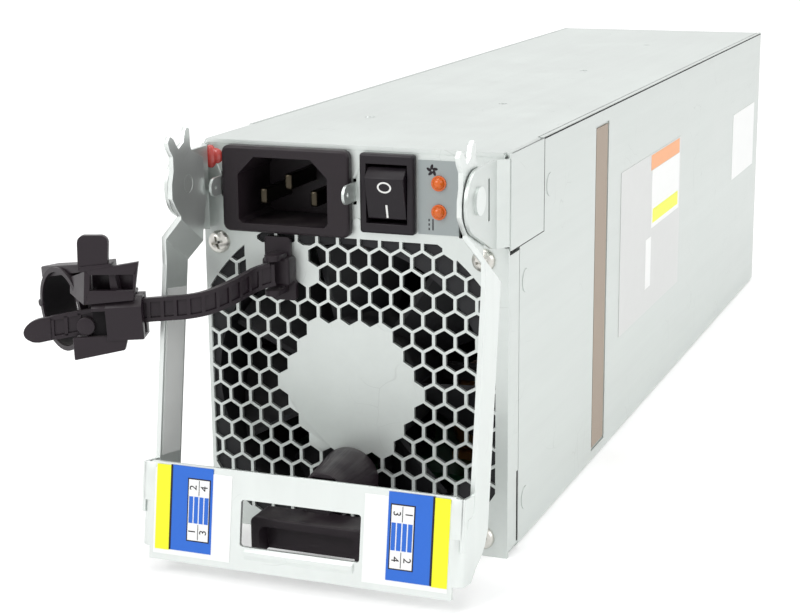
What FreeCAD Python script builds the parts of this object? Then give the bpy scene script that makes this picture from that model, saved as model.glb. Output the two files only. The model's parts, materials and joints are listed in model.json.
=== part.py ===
import FreeCAD, Part
import math
import os
import Sketcher
from FreeCAD import Matrix, Placement, Rotation, Vector

# Hot swap power supply module, millimetres and degrees.
# Local frame while drawing: x to the right, y into the case from the front
# panel face, z up from the base. Every node is then moved by half the case
# length, which puts the centre of the base on the origin.

doc = FreeCAD.newDocument("hot_swap_supply")
sheet = doc.addObject("Spreadsheet::Sheet", "Sizes")

SIZES = [
    # case
    ("case_width", 82.0, "outside width of the case"),
    ("case_height", 103.0, "outside height of the case"),
    ("case_length", 332.0, "outside length of the case"),
    ("wall", 1.0, "case sheet thickness"),
    ("bend_radius", 1.6, "outside radius of the case bends"),
    ("joint_gap", 0.3, "gap between neighbouring sheets"),
    ("seat_gap", 0.02, "gap round seated parts"),
    ("pin_gap", 0.05, "radial gap of turning parts"),
    ("flange_depth", 8.5, "depth of the front panel side flanges"),
    ("lap_depth", 27.2, "length of the cover laps at the front"),
    ("lap_stand", 0.2, "how far the laps stand outside the case side"),
    ("lap_low_front", 80.1, "height of the lap lower edge at the front"),
    ("lap_low_rear", 83.0, "height of the lap lower edge at the rear"),
    ("cover_flange", 5.0, "depth of the inner flange of the cover"),
    ("cover_hole_radius", 1.25, "small holes in the top cover"),
    ("recess_start", 79.0, "front edge of the gasket recess"),
    ("recess_width", 14.0, "width of the gasket recess"),
    ("recess_low", 3.7, "lower end of the gasket recess"),
    ("recess_high", 98.7, "upper end of the gasket recess"),
    ("recess_depth", 0.5, "depth of the gasket recess"),
    ("rivet_radius", 3.0, "case side rivet radius"),
    # grille
    ("fan_x", -1.15, "fan axis across the panel"),
    ("fan_z", 40.65, "fan axis above the base"),
    ("screw_offset", 35.75, "fan screw offset from the fan axis"),
    ("grille_half", 38.9, "half side of the perforated square"),
    ("grille_radius", 45.6, "radius that clips the perforated square"),
    ("hub_blank", 18.3, "holes nearer than this to the axis are left out"),
    ("hex_flats", 4.85, "hexagon size across the flats"),
    ("hex_pitch", 5.668, "hexagon pitch along a row"),
    ("hex_row", 4.821, "distance between hexagon rows"),
    # inlet
    ("inlet_left", -34.6, "left edge of the inlet flange"),
    ("inlet_width", 34.8, "width of the inlet flange"),
    ("inlet_low", 79.9, "lower edge of the inlet flange"),
    ("inlet_height", 22.0, "height of the inlet flange"),
    ("inlet_proud", 2.5, "how far the inlet flange stands out"),
    ("inlet_edge", 2.3, "flange width round the inlet body"),
    ("cavity_width", 24.5, "inlet cavity width"),
    ("cavity_height", 17.0, "inlet cavity height"),
    ("cavity_low", 82.2, "inlet cavity lower edge"),
    ("cavity_depth", 16.5, "inlet cavity depth behind the panel face"),
    ("inlet_depth", 20.0, "inlet body depth behind the panel face"),
    ("blade_width", 2.0, "inlet blade thickness"),
    ("blade_height", 4.0, "inlet blade height"),
    ("blade_pitch", 7.0, "side blade offset from the middle blade"),
    ("tab_height", 4.7, "height of the plug bail tabs"),
    ("tab_reach", 7.5, "how far the plug bail tabs stand out"),
    ("tab_z", 91.5, "middle of the plug bail tabs"),
    ("tab_gap", 0.3, "gap between a plug bail tab and the inlet"),
    ("tab_sheet", 0.7, "plug bail tab thickness"),
    # switch
    ("switch_x", 10.1, "switch centre across the panel"),
    ("switch_z", 91.6, "switch centre above the base"),
    ("bezel_width", 14.4, "switch bezel width"),
    ("bezel_height", 19.9, "switch bezel height"),
    ("bezel_proud", 2.0, "how far the bezel stands out"),
    ("rocker_width", 10.2, "rocker width"),
    ("rocker_face", 10.6, "height of the flat rocker face"),
    ("rocker_reach", 7.1, "rocker end radius about its pivot"),
    ("rocker_rise", 4.4, "rocker face in front of its pivot"),
    ("rocker_tilt", 13.0, "rocker tilt each side of its middle"),
    ("rocker_pin", 1.2, "rocker pivot radius"),
    ("rocker_depth", 1.6, "rocker pivot behind the panel face"),
    # indicators
    ("lamp_x", 23.25, "indicator column across the panel"),
    ("lamp_high", 94.8, "upper indicator height"),
    ("lamp_low", 87.7, "lower indicator height"),
    ("lamp_radius", 1.5, "indicator lens radius"),
    ("lamp_ring", 0.4, "indicator holder wall"),
    ("legend_left", 17.8, "left edge of the legend plate"),
    ("legend_width", 10.5, "width of the legend plate"),
    ("legend_low", 82.0, "lower edge of the legend plate"),
    ("legend_height", 18.3, "height of the legend plate"),
    ("foil", 0.3, "thickness of labels and films"),
    # fan
    ("fan_size", 77.2, "outside of the fan frame"),
    ("fan_depth", 25.0, "fan frame depth"),
    ("fan_bore", 37.2, "fan bore radius"),
    ("fan_hub", 17.5, "rotor hub radius"),
    ("fan_tip", 36.2, "rotor blade tip radius"),
    ("fan_boss", 15.0, "stator boss radius"),
    ("fan_shaft", 1.5, "rotor shaft radius"),
    ("screw_radius", 1.9, "fan screw shank radius"),
    ("screw_head", 3.4, "fan screw head radius"),
    ("screw_rise", 1.9, "fan screw head height"),
    # lever
    ("lever_sheet", 1.2, "lever sheet thickness"),
    ("pivot_y", -16.5, "lever pivot in front of the panel"),
    ("pivot_z", 94.2, "lever pivot above the base"),
    ("pivot_radius", 2.2, "pivot rivet radius"),
    ("rivet_head", 3.4, "pivot rivet head radius"),
    ("lever_inner", 36.5, "inner face of the upper arms"),
    ("lever_joggle", 4.5, "outward step of the arms"),
    ("lever_rest", 8.8, "lever angle from closed in the drawn pose"),
    ("plate_front", -24.3, "handle plate front when closed"),
    ("plate_low", 1.5, "handle plate lower edge when closed"),
    ("plate_high", 26.0, "handle plate upper edge when closed"),
    ("plate_bend", 2.5, "outside bend radius of the handle plate"),
    ("window_x", 0.6, "centre of the finger window"),
    ("window_width", 31.4, "width of the finger window"),
    ("window_low", 7.45, "lower edge of the finger window when closed"),
    ("window_high", 19.0, "upper edge of the finger window when closed"),
    ("ear_outer", 38.9, "outer face of the cover ears"),
    ("ear_sheet", 0.9, "cover ear thickness"),
    ("ear_radius", 8.0, "rounded end of the cover ears"),
    # latch
    ("latch_x", -1.6, "latch centre across the panel"),
    ("latch_z", 16.9, "latch post height"),
    ("post_radius", 8.0, "latch post radius at the panel"),
    ("post_tip", 6.3, "latch post radius at its end"),
    ("post_length", 17.0, "latch post length"),
    ("grip_width", 30.4, "latch grip width"),
    ("grip_low", 4.2, "latch grip lower face"),
    ("grip_high", 13.9, "latch grip upper face"),
    ("grip_front", -28.0, "latch grip front"),
    ("grip_depth", 8.5, "latch grip depth"),
    ("stem_half", 3.0, "half side of the latch stem"),
    ("latch_travel", 2.0, "latch lift"),
    # strap and clamp
    ("strap_height", 6.0, "strap height"),
    ("strap_sheet", 1.6, "strap thickness"),
    ("strap_root_x", -19.0, "strap swing axis across the panel"),
    ("strap_root_y", -6.5, "strap swing axis in front of the panel"),
    ("strap_root_z", 70.6, "strap middle at its root"),
    ("clamp_x", -45.3, "clamp entry across the panel"),
    ("clamp_y", -26.1, "clamp entry in front of the panel"),
    ("clamp_z", 63.6, "clamp entry above the base"),
    ("clamp_turn", 18.0, "strap direction in the clamp, from straight left"),
    ("block_length", 9.5, "ratchet block length along the strap"),
    ("block_depth", 10.0, "ratchet block depth"),
    ("block_height", 9.8, "ratchet block height"),
    ("channel_gap", 0.35, "room round the strap in the block"),
    ("ring_radius", 9.75, "clamp ring outside radius"),
    ("ring_wall", 1.4, "clamp ring wall"),
    ("ring_back", 11.0, "clamp ring axis behind the strap"),
    ("ring_start", 9.8, "clamp ring start along the strap"),
    ("ring_length", 9.5, "clamp ring length"),
    ("knuckle", 1.7, "jaw hinge knuckle radius"),
    ("knuckle_pin", 0.8, "jaw hinge pin radius"),
    ("tail_length", 33.0, "strap length beyond the clamp entry"),
    # inside
    ("board_low", 7.0, "underside of the main board"),
    ("board_sheet", 1.6, "main board thickness"),
    ("board_start", 33.0, "front edge of the main board"),
    ("board_width", 74.0, "main board width"),
    ("board_margin", 6.0, "main board gap to the rear panel"),
    ("stand_radius", 2.8, "standoff radius"),
    ("stand_inset", 5.0, "standoff inset from the board edges"),
    ("sink_height", 68.0, "heat sink height"),
    ("sink_length", 150.0, "heat sink length"),
    ("sink_sheet", 3.0, "heat sink back thickness"),
    ("fin_length", 7.0, "heat sink fin length"),
    ("cap_radius", 14.5, "bulk capacitor radius"),
    ("cap_height", 52.0, "bulk capacitor height"),
    ("core_size", 42.0, "transformer core size"),
    ("core_height", 40.0, "transformer core height"),
    ("choke_radius", 13.0, "choke outside radius"),
    ("plug_width", 56.0, "output connector width"),
    ("plug_height", 14.0, "output connector height"),
    ("plug_reach", 8.0, "output connector reach behind the case"),
    ("plug_low", 12.0, "output connector lower face"),
]


class Size:
    """A number together with the sheet expression it comes from."""

    def __init__(self, value, text):
        self.value = float(value)
        self.text = text

    def _join(self, other, sign, value):
        return Size(value, "(%s %s %s)" % (self.text, sign, lift(other).text))

    def __add__(self, other):
        return self._join(other, "+", self.value + lift(other).value)

    def __sub__(self, other):
        return self._join(other, "-", self.value - lift(other).value)

    def __mul__(self, other):
        return self._join(other, "*", self.value * lift(other).value)

    def __truediv__(self, other):
        return self._join(other, "/", self.value / lift(other).value)

    def __radd__(self, other):
        return lift(other) + self

    def __rsub__(self, other):
        return lift(other) - self

    def __rmul__(self, other):
        return lift(other) * self

    def __neg__(self):
        return Size(-self.value, "(0 - %s)" % self.text)

    def __float__(self):
        return self.value


def lift(number):
    """Wrap a plain number so that it can be joined with a Size."""
    if isinstance(number, Size):
        return number
    return Size(number, repr(float(number)))


class Sheet:
    """The sizes by name."""


S = Sheet()
for row, (alias, number, meaning) in enumerate(SIZES, start=1):
    sheet.set("A%d" % row, alias)
    sheet.set("B%d" % row, str(number))
    sheet.set("C%d" % row, meaning)
    sheet.setAlias("B%d" % row, alias)
doc.recompute()
for alias, number, meaning in SIZES:
    setattr(S, alias, Size(float(getattr(sheet, alias)), "Sizes." + alias))

NODES = []


def bind(obj, prop, size):
    """Tie a property to the sheet."""
    obj.setExpression(prop, lift(size).text)


def place(obj, x, y, z):
    """Tie the position of an object to the sheet."""
    bind(obj, "Placement.Base.x", x)
    bind(obj, "Placement.Base.y", y)
    bind(obj, "Placement.Base.z", z)


def node(obj, label):
    """Name a finished piece and move it to the shared frame."""
    obj.Label = label
    bind(obj, "Placement.Base.y", -S.case_length / 2)
    NODES.append(obj)
    return obj


def box(name, x, y, z):
    """A block between pairs of limits."""
    obj = doc.addObject("Part::Box", name)
    bind(obj, "Length", x[1] - lift(x[0]))
    bind(obj, "Width", y[1] - lift(y[0]))
    bind(obj, "Height", z[1] - lift(z[0]))
    place(obj, x[0], y[0], z[0])
    return obj


TURNS = {
    "x": Rotation(Vector(0, 1, 0), 90),
    "y": Rotation(Vector(1, 0, 0), -90),
    "z": Rotation(),
}


def rod(name, axis, start, radius, length):
    """A round bar from a start point along an axis."""
    obj = doc.addObject("Part::Cylinder", name)
    bind(obj, "Radius", radius)
    bind(obj, "Height", length)
    obj.Placement = Placement(Vector(), TURNS[axis])
    place(obj, *start)
    return obj


def cone(name, axis, start, radius, end_radius, length):
    """A tapered round bar."""
    obj = doc.addObject("Part::Cone", name)
    bind(obj, "Radius1", radius)
    bind(obj, "Radius2", end_radius)
    bind(obj, "Height", length)
    obj.Placement = Placement(Vector(), TURNS[axis])
    place(obj, *start)
    return obj


def fuse(name, parts):
    """Join several objects into one."""
    if len(parts) == 1:
        return parts[0]
    obj = doc.addObject("Part::MultiFuse", name)
    obj.Shapes = parts
    return obj


def cut(name, base, tools):
    """Take the tools away from the base."""
    obj = doc.addObject("Part::Cut", name)
    obj.Base = base
    obj.Tool = fuse(name + "_tools", tools)
    return obj


def common(name, first, second):
    """Keep what two objects share."""
    obj = doc.addObject("Part::MultiCommon", name)
    obj.Shapes = [first, second]
    return obj


def group(name, parts):
    """Keep separate solids together as one node."""
    obj = doc.addObject("Part::Compound", name)
    obj.Links = parts
    return obj


def rounded(name, base, radius, chosen):
    """Round the edges of a base that the test picks."""
    doc.recompute()
    edges = []
    for index, edge in enumerate(base.Shape.Edges, start=1):
        if chosen(edge):
            edges.append((index, float(radius), float(radius)))
    if not edges:
        raise RuntimeError("no edge to round on " + name)
    obj = doc.addObject("Part::Fillet", name)
    obj.Base = base
    obj.Edges = edges
    return obj


def runs(edge, axis):
    """True for a straight edge along an axis."""
    if not isinstance(edge.Curve, Part.Line):
        return False
    way = edge.Curve.Direction
    return abs(abs(getattr(way, axis)) - 1) < 1e-6


def near(edge, axis, size, room=1e-4):
    """True when the middle of an edge lies at a coordinate."""
    return abs(getattr(edge.CenterOfMass, axis) - float(size)) < room


# plane name -> (sketch plane role, sign of its normal along the axis it faces)
PLANES = {"x": ("YZ_Plane", 1), "y": ("XZ_Plane", -1), "z": ("XY_Plane", 1)}


def outline_body(name, axis, points, start, length):
    """A body padded along an axis from a closed outline of straight lines."""
    role, sign = PLANES[axis]
    body = doc.addObject("PartDesign::Body", name)
    plane = [item for item in body.Origin.OriginFeatures if item.Role == role][0]
    sketch = body.newObject("Sketcher::SketchObject", name + "_outline")
    sketch.AttachmentSupport = (plane, [""])
    sketch.MapMode = "FlatFace"
    bind(sketch, "AttachmentOffset.Base.z", lift(start) * sign)
    corners = [(lift(a), lift(b)) for a, b in points]
    count = len(corners)
    for index in range(count):
        here = corners[index]
        there = corners[(index + 1) % count]
        line = Part.LineSegment(
            Vector(here[0].value, here[1].value, 0),
            Vector(there[0].value, there[1].value, 0))
        sketch.addGeometry(line, False)
    for index in range(count):
        sketch.addConstraint(
            Sketcher.Constraint("Coincident", index, 2, (index + 1) % count, 1))
    for index, (across, up) in enumerate(corners):
        for kind, size in (("DistanceX", across), ("DistanceY", up)):
            number = sketch.addConstraint(
                Sketcher.Constraint(kind, -1, 1, index, 1, size.value))
            sketch.setExpression("Constraints[%d]" % number, size.text)
    pad = body.newObject("PartDesign::Pad", name + "_pad")
    pad.Profile = sketch
    pad.Reversed = sign < 0
    bind(pad, "Length", length)
    body.Tip = pad
    return body


def shape_node(name, shape):
    """A piece drawn directly from the sheet sizes."""
    turned = shape.Placement.toMatrix()
    plain = shape.copy()
    plain.Placement = Placement()
    obj = doc.addObject("Part::Feature", name)
    obj.Shape = plain.transformed(turned, True)
    return obj


def prism(points, axis, start, length):
    """A solid from an outline given in the two other axes."""
    corners = []
    for first, second in points:
        a = float(first)
        b = float(second)
        if axis == "x":
            corners.append(Vector(float(start), a, b))
        elif axis == "y":
            corners.append(Vector(a, float(start), b))
        else:
            corners.append(Vector(a, b, float(start)))
    way = {"x": Vector(1, 0, 0), "y": Vector(0, 1, 0), "z": Vector(0, 0, 1)}[axis]
    face = Part.Face(Part.makePolygon(corners + [corners[0]]))
    return face.extrude(way * float(length))


def block(x, y, z):
    """A plain solid block from pairs of limits."""
    low = Vector(float(x[0]), float(y[0]), float(z[0]))
    return Part.makeBox(
        float(x[1]) - low.x, float(y[1]) - low.y, float(z[1]) - low.z, low)


def mirrored(shape):
    """The same shape on the other side of the middle plane."""
    return shape.mirror(Vector(), Vector(1, 0, 0))


# shared positions
HALF = S.case_width / 2
INNER = HALF - S.wall
LAP_OUT = HALF + S.lap_stand
LAP_IN = LAP_OUT - S.wall
PANEL_TOP = S.case_height - S.wall - S.joint_gap
UPPER_HALF = LAP_IN - S.joint_gap
LOWER_TOP = S.lap_low_front - S.joint_gap
TRAY_FRONT = S.flange_depth + S.joint_gap
TRAY_STEP = S.lap_depth + S.joint_gap
REAR_FACE = S.case_length - S.wall
SIDES = (("left", -1), ("right", 1))
EAR_INNER = S.ear_outer - S.ear_sheet
ARM_OUTER = S.lever_inner + S.lever_sheet
SIDE_RIVETS = ((34.2, 89.9), (14.1, 69.0), (14.4, 11.6))
COVER_HOLES = ((11.0, 87.0), (10.0, 177.0), (9.2, 268.0))


def side_limits(sign, near_side, far_side):
    """Limits across the case for a piece on one side."""
    if sign > 0:
        return (near_side, far_side)
    return (-far_side, -near_side)


def chassis_tray():
    """Base and both long sides folded from one sheet."""
    profile = [
        (-HALF, S.case_height), (-HALF, 0), (HALF, 0), (HALF, S.case_height),
        (INNER, S.case_height), (INNER, S.wall), (-INNER, S.wall),
        (-INNER, S.case_height)]
    folded = outline_body("tray_fold", "y", profile, TRAY_FRONT,
                          S.case_length - TRAY_FRONT)

    def lower_bend(edge):
        return runs(edge, "y") and near(edge, "z", 0)

    rounded_tray = rounded("tray_bends", folded, S.bend_radius, lower_bend)
    step = outline_body(
        "tray_step", "x",
        [(TRAY_FRONT - 1, S.lap_low_front - S.joint_gap),
         (TRAY_STEP, S.lap_low_rear - S.joint_gap),
         (TRAY_STEP, S.case_height + 1), (TRAY_FRONT - 1, S.case_height + 1)],
        -HALF - 1, S.case_width + 2)
    tools = [step]
    for side, sign in SIDES:
        across = side_limits(sign, HALF - S.recess_depth, HALF + 1)
        tools.append(box("recess_" + side, across,
                         (S.recess_start, S.recess_start + S.recess_width),
                         (S.recess_low, S.recess_high)))
        for number, (y, z) in enumerate(SIDE_RIVETS):
            x = side_limits(sign, INNER - 1, HALF + 1)[0]
            tools.append(rod("rivet_hole_%s_%d" % (side, number), "x", (x, y, z),
                             S.rivet_radius + S.seat_gap, S.wall + 2))
    node(cut("tray", rounded_tray, tools), "chassis_tray")


def side_rivets():
    """Flush rivets in the tray sides."""
    parts = []
    for side, sign in SIDES:
        x = side_limits(sign, INNER, HALF + S.foil / 2)
        for number, (y, z) in enumerate(SIDE_RIVETS):
            parts.append(rod("rivet_%s_%d" % (side, number), "x", (x[0], y, z),
                             S.rivet_radius, x[1] - lift(x[0])))
    node(group("rivets", parts), "side_rivets")


def ear_shape(sign):
    """One cover ear with its joggle, drawn on the right and mirrored."""
    outer = float(S.ear_outer)
    inner = float(EAR_INNER)
    lap_out = float(LAP_OUT)
    lap_in = float(LAP_IN)
    fold = [
        (lap_out, 0.0), (outer, -3.0), (outer, -30.0), (inner, -30.0),
        (inner, -3.0), (lap_in, 0.0)]
    sheet_part = prism(fold, "z", 60.0, 60.0)
    centre = Vector(0, float(S.pivot_y), 94.0)
    radius = float(S.ear_radius)
    arc = Part.Arc(
        Vector(0, centre.y, centre.z + radius - 0.3),
        Vector(0, centre.y - radius, centre.z),
        Vector(0, centre.y - 3.5, centre.z - 7.19)).toShape()
    first = arc.Vertexes[0].Point
    last = arc.Vertexes[-1].Point
    points = [
        last, Vector(0, -5.8, 80.7), Vector(0, -3.0, 80.2), Vector(0, 0.0, 80.2),
        Vector(0, 0.0, first.z), first]
    lines = [Part.makeLine(a, b) for a, b in zip(points, points[1:])]
    outline = Part.Face(Part.Wire([arc] + lines))
    ear = sheet_part.common(outline.extrude(Vector(60, 0, 0)))
    hole = Part.makeCylinder(
        float(S.pivot_radius + S.seat_gap), 60, Vector(0, float(S.pivot_y), float(S.pivot_z)),
        Vector(1, 0, 0))
    slot = block((0, 60), (-9.4, -8.2), (88.0, 98.2))
    ear = ear.cut(hole).cut(slot)
    if sign < 0:
        ear = mirrored(ear)
    return ear


def top_cover():
    """Top sheet with laps and lever ears at the front."""
    inner_edge = INNER - S.joint_gap
    plate = box("cover_plate", (-inner_edge, inner_edge),
                (S.lap_depth - 1, REAR_FACE - S.joint_gap),
                (S.case_height - S.wall, S.case_height))
    cap_profile = [
        (-LAP_OUT, 70), (-LAP_OUT, S.case_height), (LAP_OUT, S.case_height),
        (LAP_OUT, 70), (LAP_IN, 70), (LAP_IN, S.case_height - S.wall),
        (-LAP_IN, S.case_height - S.wall), (-LAP_IN, 70)]
    cap = outline_body("cover_cap", "y", cap_profile, 0, S.lap_depth)

    def upper_bend(edge):
        return runs(edge, "y") and near(edge, "z", S.case_height)

    cap = rounded("cover_bends", cap, S.bend_radius, upper_bend)
    below = outline_body(
        "lap_trim", "x",
        [(-1, 60), (S.lap_depth + 1, 60), (S.lap_depth + 1, S.lap_low_rear),
         (-1, S.lap_low_front)],
        -LAP_OUT - 1, LAP_OUT * 2 + 2)
    cap = cut("cover_laps", cap, [below])
    parts = [plate, cap]
    for side, sign in SIDES:
        across = side_limits(sign, inner_edge - S.wall, inner_edge)
        parts.append(box("cover_flange_" + side, across,
                         (S.lap_depth + 2, REAR_FACE - 2),
                         (S.case_height - S.cover_flange, S.case_height - S.wall / 2)))
        parts.append(shape_node("ear_" + side, ear_shape(sign)))
    whole = fuse("cover_joined", parts)
    tools = []
    for number, (x, y) in enumerate(COVER_HOLES):
        tools.append(rod("cover_hole_%d" % number, "z",
                         (x, y, S.case_height - S.wall - 1), S.cover_hole_radius,
                         S.wall + 2))
    tools.append(rod("cover_dimple", "z", (-14.9, 49.2, S.case_height - 0.4), 1.5, 2))
    for side, sign in SIDES:
        across = side_limits(sign, INNER - 0.3, LAP_OUT + 1)
        tools.append(box("cover_notch_" + side, across, (-1, 1.5),
                         (S.case_height - S.wall - 0.4, S.case_height + 1)))
    node(cut("cover", whole, tools), "top_cover")


def hexagon_centres():
    """Centres of the open hexagons of the grille, from the fan axis."""
    half = float(S.grille_half)
    pitch = float(S.hex_pitch)
    row_step = float(S.hex_row)
    flats = float(S.hex_flats)
    reach = flats / math.sqrt(3)
    rows = int((half + reach) / row_step)
    columns = int((half + flats / 2) / pitch) + 1
    for row in range(-rows, rows + 1):
        shift = pitch / 2 if row % 2 else 0.0
        for column in range(-columns, columns + 1):
            x = column * pitch + shift
            z = row * row_step
            if abs(x) > half + flats / 2 - 0.3 or abs(z) > half + reach - 0.3:
                continue
            distance = math.hypot(x, z)
            if distance < float(S.hub_blank) or distance > float(S.grille_radius) + 2.2:
                continue
            if behind_anchor(x + float(S.fan_x), z + float(S.fan_z)):
                continue
            yield x, z


def behind_anchor(x, z):
    """True where the sheet stays whole behind the strap anchor."""
    return 67.5 < z < 76.8 and -28.0 < x < -11.0


def grille_plate():
    """Front plate with the hexagon grille."""
    lower = block((-HALF, HALF), (0, S.wall), (0, LOWER_TOP))
    upper = block((-UPPER_HALF, UPPER_HALF), (0, S.wall), (LOWER_TOP - 1, PANEL_TOP))
    plate = lower.fuse(upper).removeSplitter()
    radius = float(S.hex_flats) / math.sqrt(3)
    depth = float(S.wall)
    fan_x = float(S.fan_x)
    fan_z = float(S.fan_z)
    half = float(S.grille_half)
    inside = []
    crossing = []
    for x, z in hexagon_centres():
        corners = []
        for step in range(6):
            angle = math.radians(60 * step + 30)
            corners.append((fan_x + x + radius * math.cos(angle),
                            fan_z + z + radius * math.sin(angle)))
        solid = prism(corners, "y", -1, depth + 2)
        far = max(math.hypot(cx - fan_x, cz - fan_z) for cx, cz in corners)
        wide = max(max(abs(cx - fan_x), abs(cz - fan_z)) for cx, cz in corners)
        beside_blank = 66 < fan_z + z < 77 and -34 < fan_x + x < -29
        if far < float(S.grille_radius) and wide < half and not beside_blank:
            inside.append(solid)
        else:
            crossing.append(solid)
    square = block((fan_x - half, fan_x + half), (-1, depth + 1),
                   (fan_z - half, fan_z + half))
    disc = Part.makeCylinder(float(S.grille_radius), depth + 2,
                             Vector(fan_x, -1, fan_z), Vector(0, 1, 0))
    blank = block((-29.6, -9.0), (-2, depth + 2), (66.5, 77.0))
    region = square.common(disc).cut(blank)
    clipped = Part.makeCompound(crossing).common(region)
    solids = [piece for piece in clipped.Solids if piece.Volume > 0.6]
    return plate.cut(Part.makeCompound(inside + solids))


def front_panel():
    """Front sheet with flanges, openings and two lanced lugs."""
    plate = shape_node("panel_grille", grille_plate())
    parts = [plate]
    for side, sign in SIDES:
        across = side_limits(sign, INNER, HALF)
        parts.append(box("panel_flange_" + side, across, (S.wall / 2, S.flange_depth),
                         (S.bend_radius, LOWER_TOP - 2)))
    parts.append(box("panel_flange_base", (-INNER, INNER), (S.wall / 2, S.flange_depth),
                     (0, S.wall)))
    left = S.inlet_left - S.tab_gap - S.tab_sheet
    right = S.inlet_left + S.inlet_width + S.tab_gap
    parts.append(bail_tab("tab_left", left))
    parts.append(bail_tab("tab_right", right))
    parts.append(rod("panel_pip", "y", (1.5, -0.3, 83.8), 1.1, S.wall))
    whole = fuse("panel_joined", parts)
    tools = inlet_opening() + switch_opening() + lamp_openings() + tab_reliefs()
    for sx in (-1, 1):
        for sz in (-1, 1):
            tools.append(rod("panel_hole_%d_%d" % (sx, sz), "y",
                             (S.fan_x + S.screw_offset * sx, -1,
                              S.fan_z + S.screw_offset * sz),
                             S.screw_radius + S.seat_gap, S.wall + 2))
    tools.append(box("panel_slot", (28.3, 30.2), (-1, S.wall + 1), (81.5, 86.0)))
    tools.append(rod("seal_hole", "y", (-36.8, -1, 98.6), 1.3 + S.seat_gap, S.wall + 2))
    tools.append(rod("latch_hole", "y", (S.latch_x, -1, S.latch_z),
                     2.0 + S.seat_gap, S.wall + 2))
    node(cut("panel", whole, tools), "front_panel")


def bail_tab(name, x):
    """A round ended tab bent forward beside the inlet, for a plug bail."""
    half = S.tab_height / 2
    flat = box(name + "_flat", (x, x + S.tab_sheet), (half - S.tab_reach, S.wall / 2),
               (S.tab_z - half, S.tab_z + half))
    nose = rod(name + "_nose", "x", (x, half - S.tab_reach, S.tab_z), half, S.tab_sheet)
    eye = rod(name + "_eye", "x", (x - 1, half - S.tab_reach, S.tab_z), 0.6, S.tab_sheet + 2)
    return cut(name, fuse(name + "_solid", [flat, nose]), [eye])


def tab_reliefs():
    """Relief slots above and below the plug bail tabs."""
    tools = []
    half = S.tab_height / 2
    left = S.inlet_left - S.tab_gap - S.tab_sheet
    right = S.inlet_left + S.inlet_width + S.tab_gap
    for name, x in (("left", left), ("right", right)):
        for end, z in (("low", S.tab_z - half - 0.9), ("high", S.tab_z + half)):
            tools.append(box("tab_relief_%s_%s" % (name, end),
                             (x - 0.2, x + S.tab_sheet + 0.2), (-1, S.wall + 1),
                             (z, z + 0.9)))
    return tools


def inlet_opening():
    """Panel opening for the inlet body."""
    edge = S.inlet_edge - S.seat_gap
    return [box("inlet_opening", (S.inlet_left + edge, S.inlet_left + S.inlet_width - edge),
                (-1, S.wall + 1),
                (S.inlet_low + 1 - S.seat_gap,
                 S.inlet_low + S.inlet_height - 1 + S.seat_gap))]


def switch_opening():
    """Panel opening for the switch body."""
    across = S.bezel_width / 2 - 1 + S.seat_gap
    up = S.bezel_height / 2 - 1 + S.seat_gap
    return [box("switch_opening", (S.switch_x - across, S.switch_x + across),
                (-1, S.wall + 1), (S.switch_z - up, S.switch_z + up))]


def lamp_openings():
    """Panel holes for the two indicators."""
    outer = S.lamp_radius + S.lamp_ring + S.seat_gap
    return [rod("lamp_hole_high", "y", (S.lamp_x, -1, S.lamp_high), outer, S.wall + 2),
            rod("lamp_hole_low", "y", (S.lamp_x, -1, S.lamp_low), outer, S.wall + 2)]


def rear_panel():
    """Rear sheet with vent slots and the output opening."""
    half = INNER - S.joint_gap
    plate = box("rear_sheet", (-half, half), (REAR_FACE, S.case_length),
                (S.wall + S.joint_gap, PANEL_TOP))
    reach = S.plug_width / 2 + S.seat_gap
    tools = [box("rear_opening", (-reach, reach), (REAR_FACE - 1, S.case_length + 1),
                 (S.plug_low - S.seat_gap, S.plug_low + S.plug_height + S.seat_gap))]
    for column in range(-3, 4):
        for row in range(6):
            x = column * 10.6
            z = 36 + row * 10.5
            tools.append(box("vent_%d_%d" % (column + 3, row), (x - 4.2, x + 4.2),
                             (REAR_FACE - 1, S.case_length + 1), (z, z + 6.0)))
    node(cut("rear", plate, tools), "rear_panel")


def inlet_housing():
    """Moulded inlet with its cavity."""
    right = S.inlet_left + S.inlet_width
    flange = box("inlet_flange", (S.inlet_left, right), (-S.inlet_proud, 0),
                 (S.inlet_low, S.inlet_low + S.inlet_height))
    flange = rounded("inlet_flange_corners", flange, 2.0, lambda edge: runs(edge, "y"))
    flange = rounded("inlet_flange_front", flange, 0.9,
                     lambda edge: near(edge, "y", -S.inlet_proud))
    body = box("inlet_body",
               (S.inlet_left + S.inlet_edge, right - S.inlet_edge),
               (-1, S.inlet_depth),
               (S.inlet_low + 1, S.inlet_low + S.inlet_height - 1))
    middle = S.inlet_left + S.inlet_width / 2 - 0.55
    left = middle - S.cavity_width / 2
    top = S.cavity_low + S.cavity_height
    cavity = outline_body(
        "inlet_cavity", "y",
        [(left, S.cavity_low + 1), (left + 1, S.cavity_low),
         (left + S.cavity_width - 1, S.cavity_low),
         (left + S.cavity_width, S.cavity_low + 1),
         (left + S.cavity_width, top - 4.5), (left + S.cavity_width - 4.5, top),
         (left + 4.5, top), (left, top - 4.5)],
        -S.inlet_proud - 1, S.inlet_proud + 1 + S.cavity_depth)
    tools = [cavity]
    for number, (x, z) in enumerate(blade_centres()):
        across = S.blade_width / 2 + S.seat_gap
        up = S.blade_height / 2 + S.seat_gap
        tools.append(box("blade_seat_%d" % number, (x - across, x + across),
                         (S.cavity_depth - 1, S.inlet_depth + 1), (z - up, z + up)))
    node(cut("inlet", fuse("inlet_solid", [flange, body]), tools), "inlet_housing")


def blade_centres():
    """Blade positions in the inlet."""
    middle = S.inlet_left + S.inlet_width / 2 - 0.55
    low = S.cavity_low + S.cavity_height / 2 - 2
    return ((middle - S.blade_pitch, low), (middle, low + 4), (middle + S.blade_pitch, low))


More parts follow.
